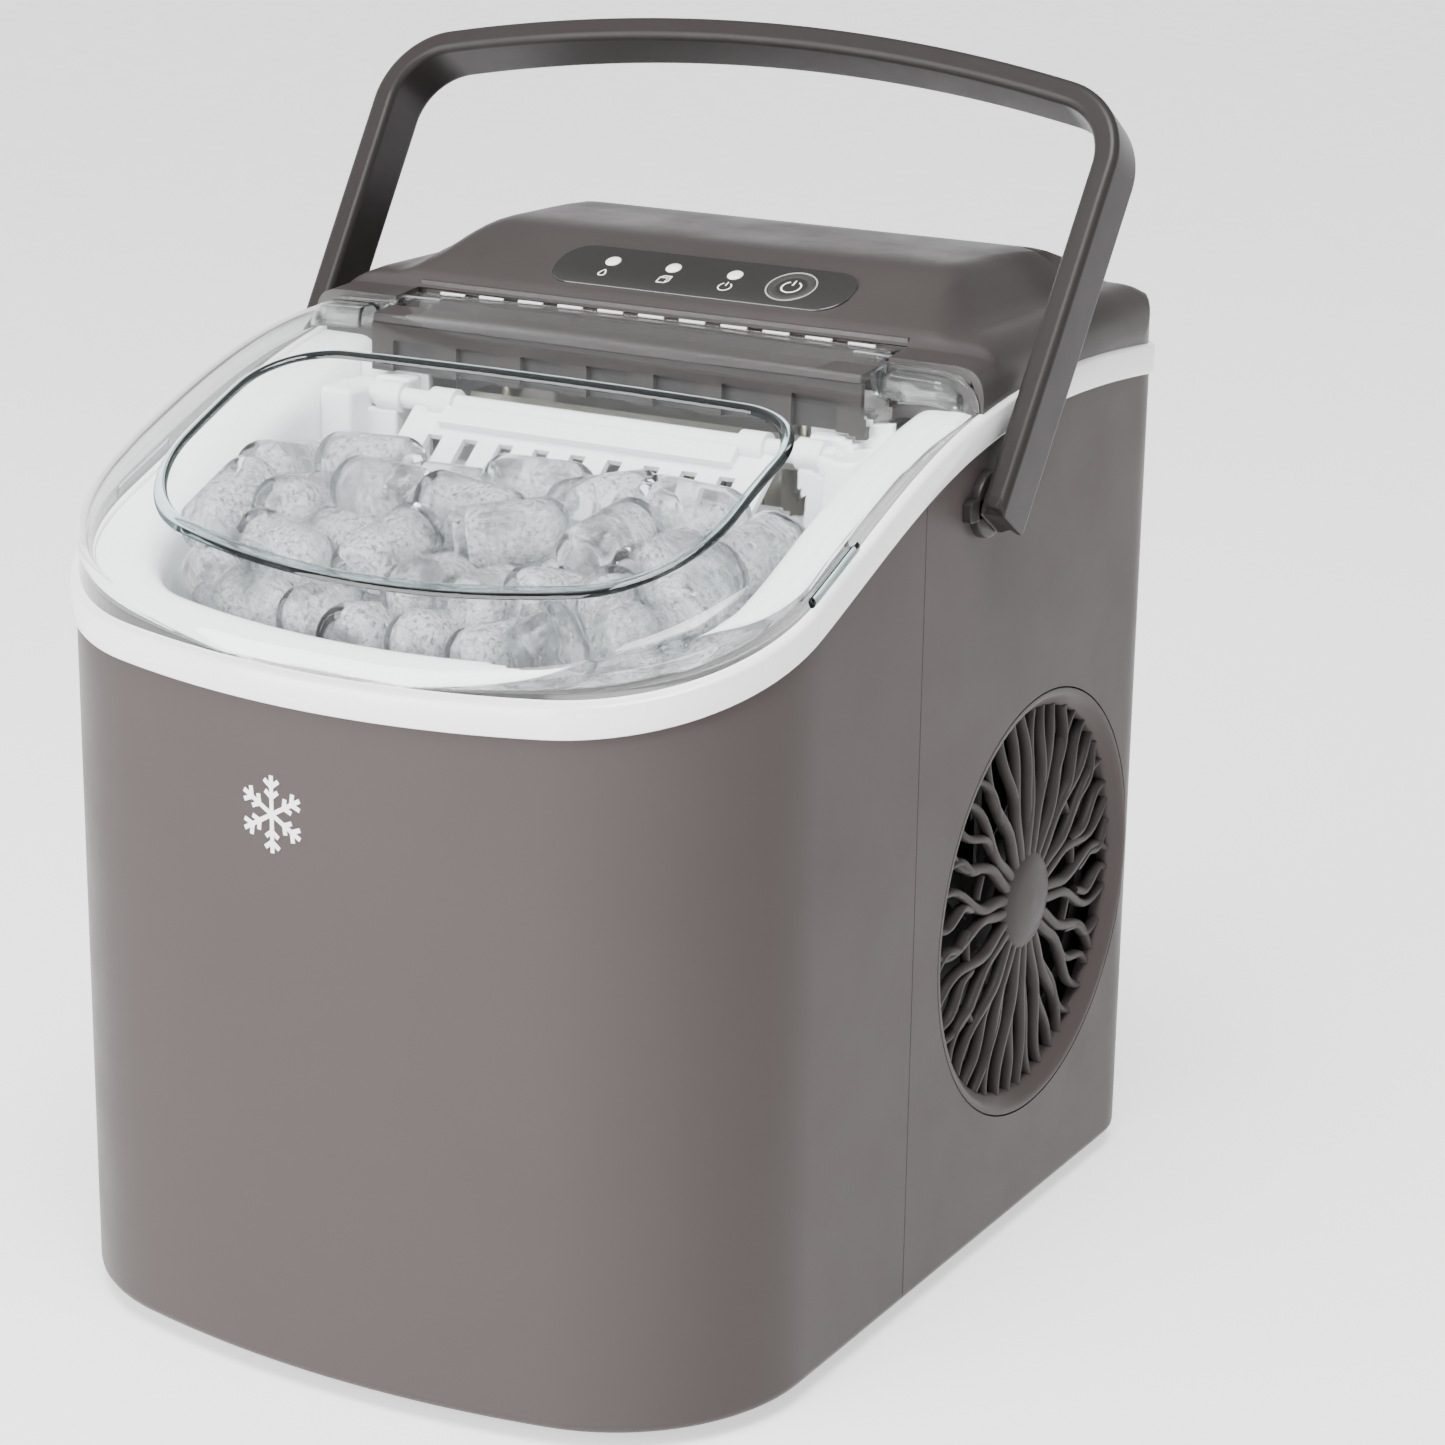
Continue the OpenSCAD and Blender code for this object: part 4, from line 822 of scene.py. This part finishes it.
# -------------------------------------------------- handle
bush_x = mm("handle_bushes")[1].x
j = next(j for j in frame["joints"] if j["name"] == "handle_pivot")
py, pz = j["pos_m"][1] * 1000, j["pos_m"][2] * 1000
arm_x, strap_t, strap_w, flare, corner, arch = bush_x + 0.3, 7.3, 18.0, 2.5, 24.6, 505.0
half = arm_x + strap_t + flare
lean = math.radians(33.5)
length = 134.3
cx = half - corner
cs = length - arch + math.sqrt((arch - corner) ** 2 - cx ** 2)
ca = math.degrees(math.atan2(cs - length + arch, cx))


def bow(d, s_end):
    """The handle's outline in its own plane, drawn inwards by d, with arms that end at s_end."""
    right = line((half - flare - d, s_end), (half - flare * 0.45 - d, cs * 0.5), 8)[:-1]
    right += line((half - flare * 0.45 - d, cs * 0.5), (half - d, cs), 8)[:-1]
    right += arc(cx, cs, corner - d, 0, ca, 20) + arc(0, length - arch, arch - d, ca, 90, 24)[1:]
    return right + [(-x, z) for x, z in reversed(right[:-1])]


def from_local(x, s, n):
    """A point at x across, s along the leaning arms and n out of the handle's plane."""
    return (x, py + s * math.sin(lean) + n * math.cos(lean), pz + s * math.cos(lean) - n * math.sin(lean))


sec = rounded(strap_t, strap_w, 2.3, 5, strap_t / 2, 0)
rows = []
for d, n in sec:
    s_end = -math.sqrt(max(0.0, 9.3 ** 2 - n * n))
    rows.append([from_local(x, s, n) for x, s in bow(d, s_end)])
v, f = loft(rows, loop_rows=True)
m, cols = len(sec), len(rows[0])
for end in (0, cols - 1):
    f.append([i * cols + end for i in range(m)])
handle = make("handle_strap", v, f, M["handle"], body="handle", replaces=["handle"], angle=50)
bevel(handle, 1.3, 3, 55)
for s, side in ((-1, "left"), (1, "right")):
    x0, x1 = side_x - 0.3, bush_x
    bush_prof = [(4.0, x0), (9.4, x0), (9.4, x1 - 0.9), (9.1, x1 - 0.3), (8.5, x1), (4.0, x1)]
    ring_mesh = revolve(bush_prof, lambda a, b, h: (s * h, py + a, pz + b), 64)
    lug = prism(rounded(9.6, 6.0, 1.6, 5, py - 8.6, pz), lambda a, b, t: (s * (x0 + (x1 - x0) * t), a, b))
    v, f = join([ring_mesh, lug])
    bush = make(f"handle_bush_{side}", v, f, M["handle"], replaces=["handle_bushes"])
    bevel(bush, 0.4, 2, 50)

# -------------------------------------------------- fan grille
gx = fan_lo.x


def on_side(a, b, h):
    """A point a back and b up from the fan's axis, at x = h."""
    return (h, fan_y + a, fan_z + b)


ring_prof = [(ring_r, gx)]
ring_prof += [(ring_r - d, side_x - e) for d, e in (
    (0, 0.5), (0.35, 0.02), (1.2, 0), (2.0, 0.25), (3.2, 1.2), (4.5, 2.7), (5.4, 3.5), (5.8, 4.3))]
ring_prof += [(ring_r - 5.8, gx)]
v, f = revolve(ring_prof, on_side, 144)
make("fan_ring", v, f, M["casing"], replaces=["fan_grille"], angle=38)
hub = [(r, gx + h) for r, h in (
    (0.01, 0), (15.4, 0), (15.6, 2.2), (15.0, 3.4), (13.2, 4.6), (9.6, 5.4), (4.8, 5.85), (0.01, 6.0))]
v, f = revolve(hub, on_side, 64)
make("fan_hub", v, f, M["casing_dark"], angle=50)
rng = np.random.default_rng(7)
parts = []
r0, r1 = 12.5, ring_r - 5.4


def rib(th0, th1, ra, rb, w0, w1, sway, phase):
    """A rib from angle th0 at radius ra to th1 at rb that sways sideways on its way out."""
    pts, n = [], 13
    for i in range(n + 1):
        t = i / n
        r = ra + (rb - ra) * t
        wave = math.sin(math.pi * t * 2 + phase) * (1 - t * 0.35) * min(1, 3 * t)
        th = th0 + (th1 - th0) * (t ** 1.25) + sway * wave
        h = gx + 2.4 + 0.7 * math.sin(math.pi * min(1, t * 1.1)) - 0.3 * t
        pts.append(on_side(r * math.cos(th), r * math.sin(th), h))
    parts.append(sweep(pts, (1, 0, 0), lambda i: (w0 + (w1 - w0) * i / n, 3.6), 10, 2.6))


mains = 24
for i in range(mains):
    a = 2 * math.pi * i / mains
    jit = float(rng.uniform(-0.03, 0.03))
    side_ness = abs(math.cos(a))
    sway = (0.035 + 0.06 * side_ness) * (1 if i % 2 else -1)
    rib(a, a + jit, r0, r1, 3.7, 2.3, sway, float(rng.uniform(-0.4, 0.4)))
    ra = 22 + 13 * side_ness + float(rng.uniform(-3, 3))
    half_gap = math.pi / mains
    rib(a + sway * 0.4 + 0.01, a + half_gap + jit, ra, r1, 2.7, 2.2, -sway * 0.6, 0.2)
    if side_ness > 0.72 and i % 2 == 0:
        rr = 30 + float(rng.uniform(0, 14))
        q = [on_side(rr * math.cos(a + t), (rr + 3 * t) * math.sin(a + t), gx + 2.2)
             for t in np.linspace(0.02, 0.24, 6)]
        parts.append(sweep(q, (1, 0, 0), lambda i: (1.8, 3.0), 10, 2.6))
v, f = join(parts)
make("fan_ribs", v, f, M["casing_dark"], angle=60)

# -------------------------------------------------- inside the ice chamber
for s, side in ((-1, "left"), (1, "right")):
    a, b = sorted((s * 63.2, s * 87.2))
    plate_part(f"liner_bulkhead_{side}", (a, 5.2, shelf_top - 1), (b, 7.6, rim_z + 1), M["liner_white"], 0.5)
    a, b = sorted((s * 66, s * 78))
    plate_part(f"shovel_rest_{side}", (a, -7.5, rim_z - 30), (b, 5.6, rim_z - 12.3), M["liner_white"], 1.0)
    plate_part(f"shovel_cap_{side}", (a, -1.0, rim_z - 12.6), (b, 5.6, rim_z - 4), M["liner_white"], 1.0)
    a, b = sorted((s * 76, s * 87.2))
    plate_part(f"liner_step_{side}", (a, -16, rim_z - 26), (b, 5.4, rim_z - 6), M["liner_white"], 1.6)
    q = [(s * 87.5, -26 + 36 * math.cos(t), rim_z - 74 + 50 * math.sin(t)) for t in np.linspace(0.2, 2.9, 36)]
    v, f = sweep(q, (1, 0, 0), lambda i: (4.4, 3.4), 12, 4.0)
    make(f"liner_arch_{side}", v, f, M["liner_white"], angle=50)

# a thin near-black plate under the ledge: painted shade for the dark hollow behind it
plate_part("cover_backing_painted_shade", (-79, ledge_y + 2.2, rim_z - 3), (79, ledge_y + 3.0, ledge_top - 2.6),
           M["recess"], 0.1)


# -------------------------------------------------- ice: bullets settled on a slope under the lid
def bullet(n, k=1.0, hollow=True):
    """One piece as a closed mesh along Z: a domed end, nearly straight sides and a hollowed flat end."""
    out = [(0.01, 15.2)]
    out += [(8.8 * math.sin(a) ** 0.8, 8.6 + 6.6 * math.cos(a)) for a in np.radians(np.linspace(10, 84, 8))]
    out += [(8.95, 4.0), (9.25, -5.0), (9.45, -10.5), (9.2, -13.2), (8.2, -14.8), (6.9, -15.2)]
    out += [(5.4, -14.6), (4.3, -11.0), (3.4, -5.0), (0.01, -1.5)] if hollow else [(0.01, -14.2)]
    rows = []
    for i in range(n):
        a = 2 * math.pi * i / n
        rows.append([(r * k * math.cos(a), r * k * math.sin(a), h * (k + 0.02)) for r, h in out])
    return loft(rows, loop_rows=True)


lid_wall, lift, bed_y, bed_fall = 2.5, 9.0, -66, 0.22


def roof(x, y):
    """How high ice may stand: under the lid, with the basket's lift to spare, and lower behind bed_y."""
    return lid_z(x, y, 40) - lid_wall - lift - bed_fall * max(0.0, y - bed_y)


def settle_ice(count, seed):
    """Lets capsules sink onto a sloping bed between the tub's walls and under the lid."""
    rng = np.random.default_rng(seed)
    r, h, depth = 9.45, 5.5, 44.0  # capsule radius, half length of its axis, depth of the bed
    rounds, sinking, fast, slow = 600, 420, 0.5, 0.08
    ys = np.linspace(front_y + 10, 0, 80)
    roof_y = np.array([roof(0, y) for y in ys])
    x = rng.uniform(-70, 70, count)
    y = rng.uniform(-100, -40, count)
    pos = np.stack([x, y, np.interp(y, ys, roof_y) - r - rng.uniform(0, depth - 2 * r, count)], 1)
    ax = rng.normal(size=(count, 3)) * (1, 1, 0.35)
    ax /= np.linalg.norm(ax, axis=1)[:, None]
    ts = (-h, -h / 2, 0, h / 2, h)
    idx, lev = np.tile(np.arange(count), len(ts)), np.repeat(ts, count)
    other = idx[:, None] != idx[None, :]
    inset = 26.5 + r
    for it in range(rounds):
        pos[:, 2] -= fast if it < sinking else slow
        pts = np.concatenate([pos + ax * t for t in ts])
        d = pts[:, None, :] - pts[None, :, :]
        dist = np.linalg.norm(d, axis=2) + 1e-9
        push = np.where((dist < 2 * r) & other, (2 * r - dist) * 0.2, 0)[:, :, None] * d / dist[:, :, None]
        q = pts + push.sum(1)
        px = np.clip(q[:, 0], -(side_x - inset), side_x - inset)
        ry = np.clip(q[:, 1], bow_y - np.sqrt((bow_r - inset) ** 2 - px ** 2), ledge_y - 43)
        dx, dy = np.abs(px) - corner_x, ry - corner_y
        l, rc = np.hypot(dx, dy) + 1e-9, front_r - inset
        out = (dx > 0) & (dy < 0) & (l > rc)
        px = np.where(out, np.sign(px) * (corner_x + dx / l * rc), px)
        ry = np.where(out, corner_y + dy / l * rc, ry)
        high = np.interp(ry, ys, roof_y) - 2.0 * (np.abs(px) / side_x) ** 2
        rz = np.clip(q[:, 2], high - depth + r, high - r)
        w = np.stack([px, ry, rz], 1) - pts
        pos += w.reshape(len(ts), count, 3).mean(0) * 1.5
        ax += (w * lev[:, None]).reshape(len(ts), count, 3).sum(0) / 260.0
        ax[:, 2] *= 0.95
        ax /= np.linalg.norm(ax, axis=1)[:, None]
    for p, a in zip(pos, ax):  # none may stand above the roof
        over = [p[2] + a[2] * t + r + 0.8 - roof(p[0] + a[0] * t, p[1] + a[1] * t)
                for t in (-10, -5, 0, 5, 10)]
        p[2] -= max(0.0, max(over))
    return pos, ax


pos, ax = settle_ice(60, 11)
rng = np.random.default_rng(3)
shell, core = [], []
bv, bf = bullet(20)
cv, cf = bullet(16, 0.77, False)
for p, a in zip(pos, ax):
    turn = Vector(a if rng.uniform() > 0.5 else -a).to_track_quat("Z", "Y").to_matrix()
    turn = turn @ Matrix.Rotation(float(rng.uniform(0, 6.28)), 3, "Z")
    shell.append(([tuple(turn @ Vector(c) + Vector(p)) for c in bv], bf))
    core.append(([tuple(turn @ Vector(c) + Vector(p)) for c in cv], cf))
v, f = join(shell)
make("ice_pieces", v, f, M["ice"], body="ice_basket", angle=60, merge=0.03)
v, f = join(core)
make("ice_frost", v, f, M["ice_frost"], body="ice_basket", angle=60, merge=0.03)

# -------------------------------------------------- emblem: a snowflake left of the front's middle
emblem = (-13.0, 162.0)


def on_front(a, b, n):
    """A point a across and b up from the emblem's middle, laid on the bowed front, n out of it."""
    x, z = emblem[0] + a, emblem[1] + b
    y = bow_y - math.sqrt((bow_r + n) ** 2 - x * x)
    return (x, y, z)


arms = []
for k in range(6):
    a = math.radians(60 * k + 90)
    c, s = math.cos(a), math.sin(a)
    arms.append([(0, 0), (5 * c, 5 * s), (10.5 * c, 10.5 * s)])
    for at, ln in ((4.6, 2.6), (7.4, 2.9)):
        for w in (-1, 1):
            b = a + w * math.radians(52)
            arms.append([(at * c, at * s), (at * c + ln * math.cos(b), at * s + ln * math.sin(b))])
strokes("emblem", arms, on_front, 1.25, 0.12, M["print_white"])

# -------------------------------------------------- camera, studio and light
cam_data = bpy.data.cameras.new("camera")
cam = bpy.data.objects.new("camera", cam_data)
SCENE.collection.objects.link(cam)
SCENE.camera = cam
yaw, pitch, roll = math.radians(29.88), math.radians(16.91), math.radians(0.84)
back_v = Vector((math.sin(yaw) * math.cos(pitch), -math.cos(yaw) * math.cos(pitch), math.sin(pitch)))
right_v = Vector((0, 0, 1)).cross(back_v).normalized()
up_v = back_v.cross(right_v)
xr = right_v * math.cos(roll) + up_v * math.sin(roll)
yr = up_v * math.cos(roll) - right_v * math.sin(roll)
basis = Matrix((xr, yr, back_v)).transposed()
cam.matrix_world = Matrix.Translation(Vector((0.5246, -0.8474, 0.4580))) @ basis.to_4x4()
cam_data.sensor_width = 36
cam_data.lens = 90.0
cam_data.shift_x, cam_data.shift_y = 0.0037, -0.0048
cam_data.clip_start, cam_data.clip_end = 0.05, 40

floor_mat = surface("floor", (0.92, 0.92, 0.92), 0.28, vary=0.01, grain=300, grain_strength=0.01)
glow = next(n for n in floor_mat.node_tree.nodes if n.type == "BSDF_PRINCIPLED")
glow.inputs["Emission Color"].default_value = (1, 1, 1, 1)
glow.inputs["Emission Strength"].default_value = 1.0
v, f = box_mesh((-9000, -9000, -20), (9000, 9000, 0))
me = bpy.data.meshes.new("floor")
me.from_pydata([tuple(c / 1000 for c in p) for p in v], [], f)
me.materials.append(floor_mat)
floor = bpy.data.objects.new("floor", me)
SCENE.collection.objects.link(floor)

world = bpy.data.worlds.new("studio")
SCENE.world = world
world.use_nodes = True
wt = world.node_tree
bg = next(n for n in wt.nodes if n.type == "BACKGROUND")
bg.inputs["Color"].default_value = (1.0, 1.0, 1.0, 1)
way = wt.nodes.new("ShaderNodeTexCoord")


def ramp_of(value, start, end, lo, hi):
    """Goes smoothly from lo where value is start to hi where it is end."""
    r = wt.nodes.new("ShaderNodeMapRange")
    r.interpolation_type = "SMOOTHSTEP"
    r.inputs["From Min"].default_value, r.inputs["From Max"].default_value = start, end
    r.inputs["To Min"].default_value, r.inputs["To Max"].default_value = lo, hi
    wt.links.new(value, r.inputs["Value"])
    return r.outputs["Result"]


def facing(to):
    """How far a direction of the sky agrees with to, from -1 to 1."""
    dot = wt.nodes.new("ShaderNodeVectorMath")
    dot.operation = "DOT_PRODUCT"
    dot.inputs[1].default_value = Vector(to).normalized()
    wt.links.new(way.outputs["Generated"], dot.inputs[0])
    return dot.outputs["Value"]


def combine(kind, a, b):
    """The sum or product of two values of the sky."""
    m = wt.nodes.new("ShaderNodeMath")
    m.operation = kind
    wt.links.new(a, m.inputs[0])
    wt.links.new(b, m.inputs[1])
    return m.outputs["Value"]


# a bright low backdrop behind, a dim ceiling and a little light from the left
backdrop = combine("MULTIPLY", ramp_of(facing((-0.5, 0.86, 0)), 0.1, 0.8, 0.0, 1.6),
                   ramp_of(facing((0, 0, 1)), 0.16, 0.36, 1.0, 0.0))
light = combine("ADD", backdrop, ramp_of(facing((0, 0, 1)), 0.3, 1.0, 0.14, 0.5))
light = combine("ADD", light, ramp_of(facing((-1, -0.2, 0.2)), 0.4, 1.0, 0.0, 0.5))
wt.links.new(light, bg.inputs["Strength"])


def area(name, at, look, w, h, power):
    """A rectangular lamp at a place in metres, turned to look at another."""
    d = bpy.data.lights.new(name, "AREA")
    d.shape, d.size, d.size_y, d.energy = "RECTANGLE", w, h, power
    o = bpy.data.objects.new(name, d)
    o.location = at
    o.rotation_mode = "QUATERNION"
    o.rotation_quaternion = (Vector(look) - Vector(at)).to_track_quat("-Z", "Y")
    SCENE.collection.objects.link(o)


area("front", (-0.80, -2.1, 0.75), (0, 0, 0.15), 1.8, 1.7, 102)
area("side", (1.6, 1.3, 0.8), (0, 0, 0.15), 1.0, 1.6, 3)
area("top", (0.42, -0.75, 2.15), (0, 0, 0.2), 1.2, 1.2, 92)
